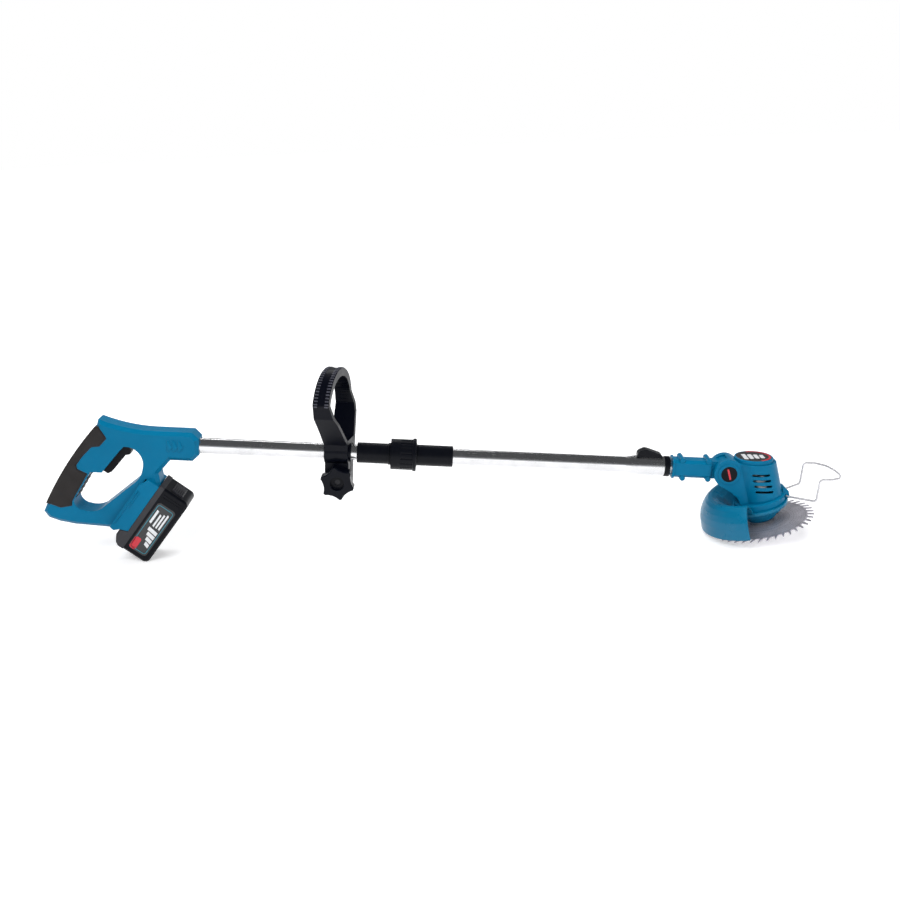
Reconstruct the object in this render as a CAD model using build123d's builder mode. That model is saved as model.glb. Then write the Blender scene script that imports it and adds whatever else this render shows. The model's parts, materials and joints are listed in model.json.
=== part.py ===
from build123d import *
from math import asin, atan2, cos, degrees, hypot, pi, radians, sin, tan
import os

# Battery pole brush cutter: rear D handle with a slide-on pack, a two-piece pole joined by a screw coupling,
# a telescopic inner tube, a clamped loop handle and a tilting motor head with a guarded saw blade.
# Frames: POLE has X along the pole towards the blade and Z up; PACK has X along the battery rails;
# HEAD has Z along the blade spindle and its origin in the middle of the blade. Y is shared by all three.
# At rest the battery corner and the rearmost blade tooth stand on the ground, Z = 0.

# ---------------------------------------------------------------- driving dimensions (mm and degrees)
fit_gap = 0.3            # between pieces that move past each other
slide_fit = 0.1          # radial clearance of pins, shafts and tubes in their bores
thread_gap = 0.4         # radial clearance that stands for a screw thread
wall = 2.5               # moulded shell wall

pole_radius = 11.0
pole_wall = 1.2
inner_radius = 9.5       # telescopic inner tube
inner_wall = 1.2
upper_pole_start, upper_pole_end = -386.0, -62.0
lower_pole_start, flare_start, flare_length, lower_pole_end = -60.0, 246.0, 15.0, 300.0
flare_full = flare_start + flare_length
flare_radius = 13.9
flare_wall = 1.3
lock_ring_end, lock_ring_radius = 308.0, 14.4
inner_start, inner_end = 62.0, 345.0

housing_half = 17.0      # half width of the D handle
shoe_half = 25.0         # half width of the battery shoe and of the battery
nose_end = -349.0
nose_half_height = 19.5
nose_chamfer = 9.0
edge_chamfer = 5.0

pack_angle = 56.0        # battery rails against the pole
pack_origin = (-446.5, -120.8)
pack_start, pack_end = -30.0, 81.0
pack_height = 48.0
pack_corner = 8.0
pack_lid = 8.0
lip_height = 11.0
shoe_height = 24.0
shoe_end = 78.0
rail_neck, rail_head = 13.5, 17.5
rail_neck_height, rail_height = 4.3, 10.5
rail_gap = 0.5

blade_centre = (448.5, -74.7)
head_lean = 18.0         # blade plane against the pole
blade_radius = 72.5
blade_root = 63.5
blade_teeth = 40
blade_thickness = 1.6
arbor_radius = 10.0
spindle_radius = 4.0
bearing_radius, bearing_width = 11.0, 7.0

pivot_point = (389.0, -2.0)
pivot_radius = 5.0
tongue_radius, tongue_half = 18.0, 9.0
ear_radius, ear_half = 20.5, 19.0
neck_start, neck_end, neck_half = 311.0, 365.0, 12.5

body_offset, body_radius, body_low, body_front, cap_left = 6.5, 29.5, 38.0, 33.5, -21.0
cap_centre, cap_slope, cap_radius, cap_thickness = (6.0, 92.2), 15.0, 26.8, 5.5
badge_radius, badge_recess = 24.4, 0.6
ear_ring, ring_proud, cap_sink, pivot_cap_radius = 15.0, 1.2, 3.0, 11.2
vent_count, vent_low, vent_pitch, vent_u, vent_length, vent_width = 4, 51.8, 8.4, 7.0, 25.0, 3.6
head_screw_places = [(-20, 50), (-18.5, 68)]
motor_offset, motor_radius, motor_low, motor_length = 8.0, 18.5, 42.0, 32.0
shaft_radius, pinion_low, pinion_width, pinion_tip, pinion_root, pinion_teeth = 2.5, 33.0, 4.4, 7.5, 6.0, 12
fan_low, fan_height, fan_radius, fan_blades = 75.5, 6.0, 19.0, 9
collar_offset, collar_radius, collar_low = 3.0, 35.5, 28.0
hub_low, hub_radius, ring_outer, ring_tip, ring_root, ring_teeth = 20.0, 14.0, 21.0, 16.0, 17.6, 24
ring_low, ring_high = 31.2, 37.5
boss_front, boss_top, boss_half = 43.0, 43.0, 11.0
wire_pivot, wire_radius = (39.0, 32.0), 1.4
flange_screw_circle, screw_top = 26.5, 31.0
guard_low, guard_flange_low, flange_radius, flange_thickness = 8.6, 24.0, 41.0, 4.0
bearing_fit, shoulder_length, wire_bend = 0.05, 6.0, 5.0
dome_wall, dome_reach = 2.5, 66.0
# radius and height of the guard's outer face, from the flange over the crest to the skirt
dome_outer = [(37, 28), (46, 40.5), (54, 47), (61, 50.5), (66, 50), (71, 46.5), (76, 40), (80, 32.5),
              (82.6, 24), (84, guard_low)]
cone_low, cone_low_radius, cone_step, cone_top_radius = 5.0, 22.0, 16.0, 31.0
spindle_low, spindle_high, shoulder_radius = -10.0, 32.4, 5.5
blade_tip_half, blade_root_half, blade_rake = 0.65, 1.7, 3.5
flange_up, flange_down, flange_clamp_radius, nut_flats, nut_height = 3.2, 2.5, 18.0, 17.0, 5.7

terminal_half, blade_spacing = 16.0, 8.0
pin_radius = 2.0
screw_radius, screw_head, screw_sink = 1.5, 3.2, 4.0
screw_length, screw_head_height = 22.0, 2.0
rubber_skin = 1.5
lead_radius, lead_bend = 1.8, 4.0

plug_start, plug_pin_radius, plug_pin_length = -72.0, 4.0, 8.0
sleeve_start, sleeve_radius = -130.0, 14.3
ring_start, ring_radius = -86.5, 15.4
nut_start, nut_length, nut_radius, rim_radius, rim_length = -83.0, 35.5, 21.4, 23.0, 5.0
nut_grooves, groove_radius, groove_start = 18, 1.6, 14.0
spigot_radius = 17.0
spigot_end = -46.7
lower_sleeve_end, lower_sleeve_radius = 4.0, 14.6
window_start, window_end, window_half = 261.5, 297.0, 7.0
bush_length, bush_bore = 10.0, 7.3
coil_radius, coil_pitch, coil_turns = 5.0, 17.0, 13
lug_height, lug_radius, neck_chamfer = 13.0, 3.7, 4.0

rib_station, release_back, release_half, release_low, release_top = 66.0, 74.5, 16.0, -35.0, -17.0
release_proud, spring_radius, spring_end = 1.2, 3.5, 76.3
board_drop, board_start, board_end, board_half, leaf, blade_slot = 10.4, 46.0, 76.0, 19.0, 0.4, 1.2
cell_length = 65.0
cell_radius = (pack_height - pack_lid - wall - 1.1) / 4     # two layers of cells between lid and floor
label_start, label_end, label_low, label_top, label_recess, label_corner = -22.0, 60.0, -40.5, -11.5, 0.8, 5.0

clamp_station, clamp_half, clamp_outer, clamp_drop = -155.0, 17.0, 18.0, 38.0
bush_outer = 13.6
loop_twist, loop_half, loop_bend, loop_top = 12.0, 52.0, 78.0, 119.0
strap, grip_depth, lug_half, slit_half = 8.0, 11.0, 12.0, 1.2
bolt_radius, bolt_head = 4.0, 7.5
knob_near, knob_far, knob_radius, knob_core, knob_recess = 12.5, 30.0, 24.0, 19.2, 10.0
knob_points, scallop_radius = 6, 24.5

# ---------------------------------------------------------------- frames
lean = radians(head_lean)
pack_turn = radians(pack_angle)
corner = (pack_start + pack_corner, pack_corner - pack_height)
corner_x = pack_origin[0] + corner[0] * cos(pack_turn) - corner[1] * sin(pack_turn)
corner_z = pack_origin[1] + corner[0] * sin(pack_turn) + corner[1] * cos(pack_turn)
tooth_x = blade_centre[0] - blade_radius * cos(lean) + blade_thickness / 2 * sin(lean)
tooth_z = blade_centre[1] - blade_radius * sin(lean) - blade_thickness / 2 * cos(lean)
touch_run, touch_rise = tooth_x - corner_x, tooth_z - corner_z
rest_tilt = degrees(atan2(touch_rise, touch_run) + asin(pack_corner / hypot(touch_run, touch_rise)))
tilt = radians(rest_tilt)
pole_height = tooth_x * sin(tilt) - tooth_z * cos(tilt)
pole_shift = 13.96       # puts the origin under the middle of the overall length

POLE = Plane((pole_shift, 0, pole_height), x_dir=(cos(tilt), 0, -sin(tilt)), z_dir=(sin(tilt), 0, cos(tilt)))


def moved(frame, x=0.0, y=0.0, z=0.0, lift=0.0):
    """The frame moved in itself, with its X axis lifted towards its Z axis by lift degrees."""
    turn = radians(lift)
    x_dir = frame.x_dir * cos(turn) + frame.z_dir * sin(turn)
    z_dir = frame.z_dir * cos(turn) - frame.x_dir * sin(turn)
    return Plane(frame.from_local_coords(Vector(x, y, z)), x_dir=x_dir, z_dir=z_dir)


def side(frame, y=0.0):
    """Plane that shows the frame's X and Z, facing -Y."""
    return Plane(frame.from_local_coords(Vector(0, y, 0)), x_dir=frame.x_dir, z_dir=-frame.y_dir)


def across(frame, x=0.0):
    """Plane that shows the frame's Y and Z, facing +X."""
    return Plane(frame.from_local_coords(Vector(x, 0, 0)), x_dir=frame.y_dir, z_dir=frame.x_dir)


def plan(frame, z=0.0):
    """Plane that shows the frame's X and Y, facing +Z."""
    return Plane(frame.from_local_coords(Vector(0, 0, z)), x_dir=frame.x_dir, z_dir=frame.z_dir)


def shape(plane, points, radius=0.0):
    """A closed outline through the points, with its corners rounded where a radius is given."""
    with BuildSketch(plane) as drawn:
        with BuildLine():
            Polyline(*points, close=True)
        make_face()
        if radius:
            fillet(drawn.vertices(), radius)
    return drawn.sketch


def disc(plane, radius, hole=0.0):
    """A disc, with a round hole where one is given."""
    with BuildSketch(plane) as drawn:
        Circle(radius)
        if hole:
            Circle(hole, mode=Mode.SUBTRACT)
    return drawn.sketch


os.makedirs("parts", exist_ok=True)
PACK = moved(POLE, x=pack_origin[0], z=pack_origin[1], lift=pack_angle)
HEAD = moved(POLE, x=blade_centre[0], z=blade_centre[1], lift=head_lean)
PIVOT = moved(POLE, x=pivot_point[0], z=pivot_point[1])
pole_axis = Axis(POLE.origin, POLE.x_dir)
head_axis = Axis(HEAD.origin, HEAD.z_dir)

# ---------------------------------------------------------------- rear handle
# Outlines are drawn in the POLE frame, as (along the pole, height).
grip_back_low, grip_back_mid, grip_back_top = (-562.0, -88.0), (-530.5, -32.0), (-489.5, 24.0)
trigger_pivot = (-456.0, 4.0)
rail_normal = (-sin(pack_turn), cos(pack_turn))
slot_half = 7.4
screw_places = [(-362, 15.2), (-419, 10), (-474, 15), (-546, -103), (-482, -112)]
post_radius = 4.2
hollow_end = -372.0      # the nose is solid beyond this and grips the pole
terminal_start, terminal_end = 42.0, 70.0
channel_end = shoe_end - 4.0


def pack_to_pole(x, z):
    """A point of the PACK frame, given in the POLE frame."""
    return (pack_origin[0] + x * cos(pack_turn) - z * sin(pack_turn),
            pack_origin[1] + x * sin(pack_turn) + z * cos(pack_turn))


def box_between(plane, x_low, x_high, y_low, y_high):
    """A rectangle on a plane between two values of X and two of Y."""
    with BuildSketch(plane) as drawn:
        with Locations(((x_low + x_high) / 2, (y_low + y_high) / 2)):
            Rectangle(x_high - x_low, y_high - y_low)
    return drawn.sketch


def spot(plane, place, radius, hole=0.0):
    """A disc at a place on a plane, with a round hole where one is given."""
    with BuildSketch(plane) as drawn:
        with Locations(place):
            Circle(radius)
            if hole:
                Circle(hole, mode=Mode.SUBTRACT)
    return drawn.sketch


def housing_outline(plane, inset=0.0):
    """The side outline of the D handle with its hand opening."""
    rail_top = pack_to_pole(shoe_end, 0)
    rail_low = pack_to_pole(-3.0, 0)
    shoe_step = pack_to_pole(-8.0, lip_height + rail_gap)
    shoe_toe = pack_to_pole(-14.0, 17.0)
    with BuildSketch(plane) as drawn:
        with BuildLine():
            ThreePointArc(grip_back_low, grip_back_mid, grip_back_top)
            Line(grip_back_top, (-487, 35))
            ThreePointArc((-487, 35), (-449, 25), (-407, 21.5))
            Polyline((-407, 21.5), (nose_end - nose_chamfer, 21.5), (nose_end, 21.5 - nose_chamfer),
                     (nose_end, nose_chamfer - nose_half_height),
                     (nose_end - nose_chamfer, -nose_half_height), (-389, -nose_half_height),
                     (-406, -40), rail_top, rail_low, shoe_step, shoe_toe,
                     (-472, -123), (-525, -120.5), (-547, -117), (-562, -112), (-568.5, -103), grip_back_low)
        make_face()
        with BuildLine():
            Polyline((-446, -2), (-452, -2), (-458, -8), (-484, -41), (-500, -41), (-525, -84))
            ThreePointArc((-525, -84), (-521.5, -92.5), (-511, -98))
            ThreePointArc((-511, -98), (-499, -99), (-487, -95))
            Line((-487, -95), (-440, -55))
            ThreePointArc((-440, -55), (-430, -43), (-426.5, -31))
            ThreePointArc((-426.5, -31), (-431, -11), (-446, -2))
        make_face(mode=Mode.SUBTRACT)
        if inset:
            offset(amount=-inset)
    return drawn.sketch


with BuildPart() as handle_core:
    extrude(housing_outline(side(POLE)), amount=housing_half, both=True)
    for end_face in (handle_core.faces().sort_by(Axis.Y)[0], handle_core.faces().sort_by(Axis.Y)[-1]):
        chamfer(end_face.outer_wire().edges(), edge_chamfer)
    shoe_profile = shape(side(PACK), [(-3, 0), (shoe_end, 0), (shoe_end, shoe_height - 6),
                                      (shoe_end - 14, shoe_height), (-13, shoe_height), (-14, 17),
                                      (-8, lip_height + rail_gap)])
    extrude(shoe_profile, amount=shoe_half, both=True)

with BuildPart() as housing_near:
    add(handle_core.part)
    split(bisect_by=Plane.XZ, keep=Keep.TOP)
    # the hollow inside the walls, kept out of the nose
    inside = box_between(side(POLE), -600, hollow_end, -200, 100)
    channel_roof = box_between(side(PACK), -100, 200, -60, rail_height + rail_gap + wall)
    # its corners stay a wall's thickness behind the chamfered edge of the shell
    for inset, depth in ((wall, housing_half - edge_chamfer), (edge_chamfer, housing_half - wall)):
        extrude((housing_outline(side(POLE), inset=inset) & inside) - channel_roof, amount=depth,
                mode=Mode.SUBTRACT)
    extrude(box_between(side(PACK), 2, channel_end, rail_height + rail_gap + wall, shoe_height - wall),
            amount=shoe_half - wall, mode=Mode.SUBTRACT)
    for place in screw_places:
        extrude(spot(side(POLE), place, post_radius), amount=housing_half - wall)
    # rail channel for the battery, open at its lower end
    extrude(box_between(side(PACK), -60, channel_end, -1, rail_neck_height + 0.2),
            amount=rail_neck + rail_gap, mode=Mode.SUBTRACT)
    extrude(box_between(side(PACK), -60, channel_end, rail_neck_height - rail_gap, rail_height + rail_gap),
            amount=rail_head + rail_gap, mode=Mode.SUBTRACT)
    # seat of the terminal block, slot of the trigger, bore of the pole and holes of the screws
    extrude(box_between(side(PACK), terminal_start, terminal_end, rail_height,
                        rail_height + rail_gap + wall + 1),
            amount=terminal_half, mode=Mode.SUBTRACT)
    trigger_slot = shape(side(POLE), [(-447.5, 11), (-467, 11), (-469, -2), (-497, -34), (-494, -48),
                                      (-470, -52), (-430, -8)])
    extrude(trigger_slot, amount=slot_half, mode=Mode.SUBTRACT)
    extrude(disc(across(POLE, upper_pole_start), pole_radius + slide_fit), amount=60, mode=Mode.SUBTRACT)
    for place in screw_places:
        extrude(spot(side(POLE), place, screw_radius), amount=screw_length - housing_half + screw_sink + 0.5,
                mode=Mode.SUBTRACT)
    extrude(spot(side(POLE), trigger_pivot, pin_radius + slide_fit), amount=housing_half - wall / 2,
            mode=Mode.SUBTRACT)
housing_near.part.label = "housing_near"
export_step(housing_near.part, "parts/housing_near.step")

with BuildPart() as housing_far:
    mirror(housing_near.part, about=Plane.XZ)
    # the screws go in from this side
    for place in screw_places:
        extrude(spot(side(POLE, housing_half), place, screw_radius), amount=housing_half, mode=Mode.SUBTRACT)
        extrude(spot(side(POLE, housing_half), place, screw_head), amount=screw_sink, mode=Mode.SUBTRACT)
housing_far.part.label = "housing_far"
export_step(housing_far.part, "parts/housing_far.step")

with BuildPart() as housing_screws:
    for place in screw_places:
        extrude(spot(side(POLE, housing_half - screw_sink), place, screw_radius - slide_fit),
                amount=screw_length)
        extrude(spot(side(POLE, housing_half - screw_sink + screw_head_height), place,
                     screw_head - slide_fit), amount=screw_head_height)
housing_screws.part.label = "housing_screws"
export_step(housing_screws.part, "parts/housing_screws.step")

with BuildPart() as rubber_grip:
    with BuildSketch(side(POLE)) as skin:
        with BuildLine():
            ThreePointArc((-563.8, -89.2), (-532.3, -31.2), (-491.2, 25.2))
            Polyline((-491.2, 25.2), (-485.5, 25.5), (-476.5, 11.5), (-475.5, 8.5), (-485.5, -3),
                     (-496.5, -4.5), (-509.5, -18.5), (-518.5, -31.5), (-517.5, -37), (-503.5, -43.5),
                     (-526.5, -84.5), (-527.5, -92), (-543.5, -95.5), (-560, -90), (-563.8, -89.2))
        make_face()
    extrude(amount=housing_half + rubber_skin, both=True)
    for end_face in (rubber_grip.faces().sort_by(Axis.Y)[0], rubber_grip.faces().sort_by(Axis.Y)[-1]):
        chamfer(end_face.outer_wire().edges(), rubber_skin)
    add(handle_core.part, mode=Mode.SUBTRACT)
rubber_grip.part.label = "rubber_grip"
export_step(rubber_grip.part, "parts/rubber_grip.step")

with BuildPart() as trigger:
    lever = shape(side(POLE), [(-462, -4), (-461.5, 7), (-452, 9), (-450, 2), (-444.5, -10.5), (-446, -15.5),
                               (-452.5, -17), (-472.5, -42), (-478, -45), (-484, -41.5), (-488, -37.5)], 1.2)
    extrude(lever, amount=slot_half - fit_gap, both=True)
    extrude(spot(side(POLE), trigger_pivot, pin_radius + slide_fit), amount=20, both=True, mode=Mode.SUBTRACT)
trigger.part.label = "trigger"
export_step(trigger.part, "parts/trigger.step")

with BuildPart() as trigger_pin:
    extrude(spot(side(POLE), trigger_pivot, pin_radius), amount=housing_half - wall / 2, both=True)
trigger_pin.part.label = "trigger_pin"
export_step(trigger_pin.part, "parts/trigger_pin.step")

with BuildPart() as trigger_spring:
    spring_base = side(moved(POLE, x=trigger_pivot[0], z=trigger_pivot[1]), -slot_half - 0.9)
    with BuildLine():
        coil = Helix(pitch=1.4, height=2.8, radius=pin_radius + 0.8, center=spring_base.origin,
                     direction=spring_base.z_dir)
    with BuildSketch(Plane(coil @ 0, z_dir=coil % 0)):
        Circle(0.5)
    sweep()
trigger_spring.part.label = "trigger_spring"
export_step(trigger_spring.part, "parts/trigger_spring.step")

with BuildPart() as trigger_switch:
    switch_frame = moved(POLE, x=-488.0, z=-12.0, lift=52.0)
    extrude(box_between(side(switch_frame), -15, 15, -6.5, 6.5), amount=housing_half - wall, both=True)
    extrude(box_between(side(switch_frame), -3, 3, -9.5, -6.5), amount=3, both=True)
trigger_switch.part.label = "trigger_switch"
export_step(trigger_switch.part, "parts/trigger_switch.step")

with BuildPart() as terminal_block:
    extrude(box_between(side(PACK), terminal_start, terminal_end, rail_height + rail_gap, shoe_height - wall),
            amount=terminal_half, both=True)
terminal_block.part.label = "terminal_block"
export_step(terminal_block.part, "parts/terminal_block.step")

with BuildPart() as terminal_blades:
    for offset_y in (-blade_spacing, blade_spacing):
        extrude(box_between(side(PACK, offset_y), terminal_start + 6, terminal_end - 10, 2.5,
                            rail_height + rail_gap), amount=0.4, both=True)
terminal_blades.part.label = "terminal_blades"
export_step(terminal_blades.part, "parts/terminal_blades.step")

with BuildPart() as switch_lead:
    with BuildLine(side(POLE, -10.5)) as lead_path:
        FilletPolyline(pack_to_pole(60, shoe_height - wall), pack_to_pole(60, shoe_height + 3), (-418, -38),
                       (-413, -8), (-436, 13), (-460, 12), (-474, 1), radius=lead_bend)
    with BuildSketch(Plane(lead_path.line @ 0, z_dir=lead_path.line % 0)):
        Circle(lead_radius)
    sweep()
switch_lead.part.label = "switch_lead"
export_step(switch_lead.part, "parts/switch_lead.step")

# ---------------------------------------------------------------- pole, upper half of the coupling
with BuildPart() as upper_pole:
    extrude(disc(across(POLE, upper_pole_start), pole_radius, pole_radius - pole_wall),
            amount=upper_pole_end - upper_pole_start)
upper_pole.part.label = "upper_pole"
export_step(upper_pole.part, "parts/upper_pole.step")

with BuildPart() as pole_lead:
    with BuildLine(side(POLE, -5)) as lead_path:
        FilletPolyline(pack_to_pole(66, shoe_height - wall), pack_to_pole(66, shoe_height + 3), (-415, -34),
                       (-409, -9), (-396, 0), (plug_start - 0.2, 0), radius=lead_bend)
    with BuildSketch(Plane(lead_path.line @ 0, z_dir=lead_path.line % 0)):
        Circle(lead_radius)
    sweep()
pole_lead.part.label = "pole_lead"
export_step(pole_lead.part, "parts/pole_lead.step")

with BuildPart() as coupling_plug:
    extrude(disc(across(POLE, plug_start), pole_radius - pole_wall - 0.05),
            amount=upper_pole_end - plug_start)
    extrude(disc(across(POLE, upper_pole_end), plug_pin_radius), amount=plug_pin_length)
coupling_plug.part.label = "coupling_plug"
export_step(coupling_plug.part, "parts/coupling_plug.step")

with BuildPart() as coupling_sleeve:
    extrude(disc(across(POLE, sleeve_start), sleeve_radius, pole_radius + 0.05),
            amount=nut_start - sleeve_start)
    fillet(coupling_sleeve.edges().filter_by(GeomType.CIRCLE).sort_by(Axis(POLE.origin, POLE.x_dir))[0:2]
           .sort_by(SortBy.RADIUS)[-1], 1.5)
    extrude(disc(across(POLE, nut_start), spigot_radius, pole_radius + 0.05),
            amount=upper_pole_end - nut_start)
coupling_sleeve.part.label = "coupling_sleeve"
export_step(coupling_sleeve.part, "parts/coupling_sleeve.step")

with BuildPart() as coupling_ring:
    extrude(disc(across(POLE, ring_start), ring_radius, sleeve_radius + 0.05), amount=nut_start - ring_start)
    chamfer(coupling_ring.edges().filter_by(GeomType.CIRCLE).sort_by(SortBy.RADIUS)[-2:], 0.6)
coupling_ring.part.label = "coupling_ring"
export_step(coupling_ring.part, "parts/coupling_ring.step")

with BuildPart() as coupling_nut:
    extrude(disc(across(POLE, nut_start + fit_gap), nut_radius), amount=nut_length - rim_length)
    with BuildSketch(across(POLE, nut_start + groove_start)):
        with PolarLocations(nut_radius + groove_radius / 2, nut_grooves):
            Circle(groove_radius)
    extrude(amount=nut_length - groove_start, mode=Mode.SUBTRACT)
    extrude(disc(across(POLE, nut_start + fit_gap + nut_length - rim_length), rim_radius), amount=rim_length)
    chamfer(coupling_nut.edges().filter_by(GeomType.CIRCLE).sort_by(SortBy.RADIUS)[-2:], 1.0)
    extrude(disc(across(POLE, nut_start), spigot_radius + thread_gap), amount=nut_length + 2,
            mode=Mode.SUBTRACT)
coupling_nut.part.label = "coupling_nut"
export_step(coupling_nut.part, "parts/coupling_nut.step")

# ---------------------------------------------------------------- lower pole and its telescopic lock
with BuildPart() as lower_sleeve:
    extrude(disc(across(POLE, lower_pole_start), spigot_radius), amount=spigot_end - lower_pole_start)
    extrude(disc(across(POLE, spigot_end), lower_sleeve_radius), amount=lower_sleeve_end - spigot_end)
    fillet(lower_sleeve.edges().filter_by(GeomType.CIRCLE).sort_by(Axis(POLE.origin, POLE.x_dir))[-1], 1.5)
    extrude(disc(across(POLE, lower_pole_start), pole_radius + 0.05), amount=100, mode=Mode.SUBTRACT)
lower_sleeve.part.label = "lower_sleeve"
export_step(lower_sleeve.part, "parts/lower_sleeve.step")

with BuildPart() as lower_pole:
    with BuildSketch(side(POLE)):
        with BuildLine():
            Polyline((lower_pole_start, pole_radius), (flare_start, pole_radius), (flare_full, flare_radius),
                     (lower_pole_end, flare_radius), (lower_pole_end, flare_radius - flare_wall),
                     (flare_full, flare_radius - flare_wall), (flare_start, pole_radius - pole_wall),
                     (lower_pole_start, pole_radius - pole_wall), close=True)
        make_face()
    revolve(axis=pole_axis)
    extrude(box_between(plan(POLE, 5), window_start, window_end, -window_half, window_half), amount=30,
            mode=Mode.SUBTRACT)
lower_pole.part.label = "lower_pole"
export_step(lower_pole.part, "parts/lower_pole.step")

with BuildPart() as coupling_socket:
    extrude(disc(across(POLE, lower_pole_start), pole_radius - pole_wall - 0.05, plug_pin_radius + fit_gap),
            amount=plug_pin_length)
    extrude(disc(across(POLE, lower_pole_start + plug_pin_length), pole_radius - pole_wall - 0.05), amount=6)
coupling_socket.part.label = "coupling_socket"
export_step(coupling_socket.part, "parts/coupling_socket.step")

with BuildPart() as lock_ring:
    extrude(disc(across(POLE, lower_pole_end), lock_ring_radius, inner_radius + slide_fit),
            amount=lock_ring_end - lower_pole_end)
    fillet(lock_ring.edges().filter_by(GeomType.CIRCLE).sort_by(SortBy.RADIUS)[-2:], 1.0)
lock_ring.part.label = "lock_ring"
export_step(lock_ring.part, "parts/lock_ring.step")

with BuildPart() as lock_button:
    lock_profile = shape(side(POLE), [(window_start + fit_gap, 12.9), (window_start + fit_gap, 18.5),
                                      (window_start + 3, 21.5), (window_start + 9.5, 24.6),
                                      (window_start + 14, 24.2), (window_end - 3, 18.4),
                                      (window_end - fit_gap, 15.5), (window_end - fit_gap, 12.9)], 0.8)
    extrude(lock_profile, amount=window_half - fit_gap, both=True)
lock_button.part.label = "lock_button"
export_step(lock_button.part, "parts/lock_button.step")

with BuildPart() as lock_spring:
    extrude(box_between(side(POLE), window_start + 4, lower_pole_end, 10.3, 10.8), amount=4, both=True)
    extrude(box_between(side(POLE), lower_pole_end - 1, lower_pole_end, 10.3, 11.9), amount=4, both=True)
lock_spring.part.label = "lock_spring"
export_step(lock_spring.part, "parts/lock_spring.step")

# ---------------------------------------------------------------- battery pack
lid_top = -fit_gap
with BuildPart() as battery_case:
    with BuildSketch(side(PACK)) as case_profile:
        Polygon((pack_start, -pack_height), (pack_end, -pack_height), (pack_end, -pack_lid),
                (pack_start, -pack_lid), align=None)
        fillet(case_profile.vertices().group_by(Axis.Y)[0], pack_corner)
    extrude(amount=shoe_half, both=True)
    for end_face in (battery_case.faces().sort_by(Axis.Y)[0], battery_case.faces().sort_by(Axis.Y)[-1]):
        chamfer(end_face.edges() - end_face.edges().group_by(Axis(PACK.origin, PACK.z_dir))[-1], 2.5)
    extrude(box_between(side(PACK), pack_start + wall, pack_end - wall, wall - pack_height, 0),
            amount=shoe_half - wall, both=True, mode=Mode.SUBTRACT)
    extrude(box_between(side(PACK), rib_station - 1, rib_station + 1, wall - pack_height - 1,
                        -board_drop - 2),
            amount=shoe_half - wall, both=True)
    extrude(box_between(across(PACK, release_back), -release_half - fit_gap, release_half + fit_gap,
                        release_low - fit_gap, release_top + fit_gap), amount=20, mode=Mode.SUBTRACT)
    extrude(shape(side(PACK, label_recess - shoe_half), [(label_start, label_low), (label_end, label_low),
                                                         (label_end, label_top), (label_start, label_top)],
                  label_corner), amount=label_recess, mode=Mode.SUBTRACT)
battery_case.part.label = "battery_case"
export_step(battery_case.part, "parts/battery_case.step")

with BuildPart() as battery_lid:
    lid_profile = shape(side(PACK), [(pack_start, -pack_lid), (pack_end, -pack_lid), (pack_end, lid_top),
                                     (-3.7, lid_top), (-8.7, lip_height), (-17, lip_height), (-27, 5),
                                     (pack_start, 0)])
    extrude(lid_profile, amount=shoe_half, both=True)
    chamfer(battery_lid.faces().sort_by(Axis.Y)[0].edges().group_by(Axis(PACK.origin, PACK.z_dir))[-1]
            + battery_lid.faces().sort_by(Axis.Y)[-1].edges().group_by(Axis(PACK.origin, PACK.z_dir))[-1], 2)
    extrude(box_between(side(PACK), -8, channel_end - 6, lid_top - 1, rail_neck_height + 1), amount=rail_neck,
            both=True)
    extrude(box_between(side(PACK), -8, channel_end - 6, rail_neck_height, rail_height), amount=rail_head,
            both=True)
    for offset_y in (-blade_spacing, blade_spacing):
        extrude(box_between(side(PACK, offset_y), terminal_start - 2, channel_end, -pack_lid, rail_height),
                amount=blade_slot, both=True, mode=Mode.SUBTRACT)
    with Locations(PACK.location):
        for post_x in (board_start + 4, board_end - 4):
            for post_y in (-board_half + 4, board_half - 4):
                with Locations((post_x, post_y, -(pack_lid + board_drop) / 2)):
                    Cylinder(2, board_drop - pack_lid)
battery_lid.part.label = "battery_lid"
export_step(battery_lid.part, "parts/battery_lid.step")

with BuildPart() as battery_board:
    extrude(box_between(plan(PACK, -board_drop - 1.6), board_start, board_end, -board_half, board_half),
            amount=1.6)
    for offset_y in (-blade_spacing, blade_spacing):
        for leaf_y in (-blade_slot + leaf / 2, blade_slot - leaf / 2):
            extrude(box_between(side(PACK, offset_y + leaf_y), terminal_start + 4, board_end - 4, -board_drop,
                                rail_height - 2), amount=leaf / 2, both=True)
battery_board.part.label = "battery_board"
export_step(battery_board.part, "parts/battery_board.step")

with BuildPart() as battery_cells:
    for cell_y in (-cell_radius - 0.1, cell_radius + 0.1):
        for cell_z in (wall + cell_radius - pack_height + 0.1, wall + 3 * cell_radius - pack_height + 0.3):
            extrude(spot(across(PACK, pack_start + wall + 3), (cell_y, cell_z), cell_radius),
                    amount=cell_length)
battery_cells.part.label = "battery_cells"
export_step(battery_cells.part, "parts/battery_cells.step")

with BuildPart() as battery_label:
    extrude(shape(side(PACK, label_recess - shoe_half), [(label_start + 0.1, label_low + 0.1),
                                                         (label_end - 0.1, label_low + 0.1),
                                                         (label_end - 0.1, label_top - 0.1),
                                                         (label_start + 0.1, label_top - 0.1)],
                  label_corner), amount=label_recess)
battery_label.part.label = "battery_label"
export_step(battery_label.part, "parts/battery_label.step")

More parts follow.
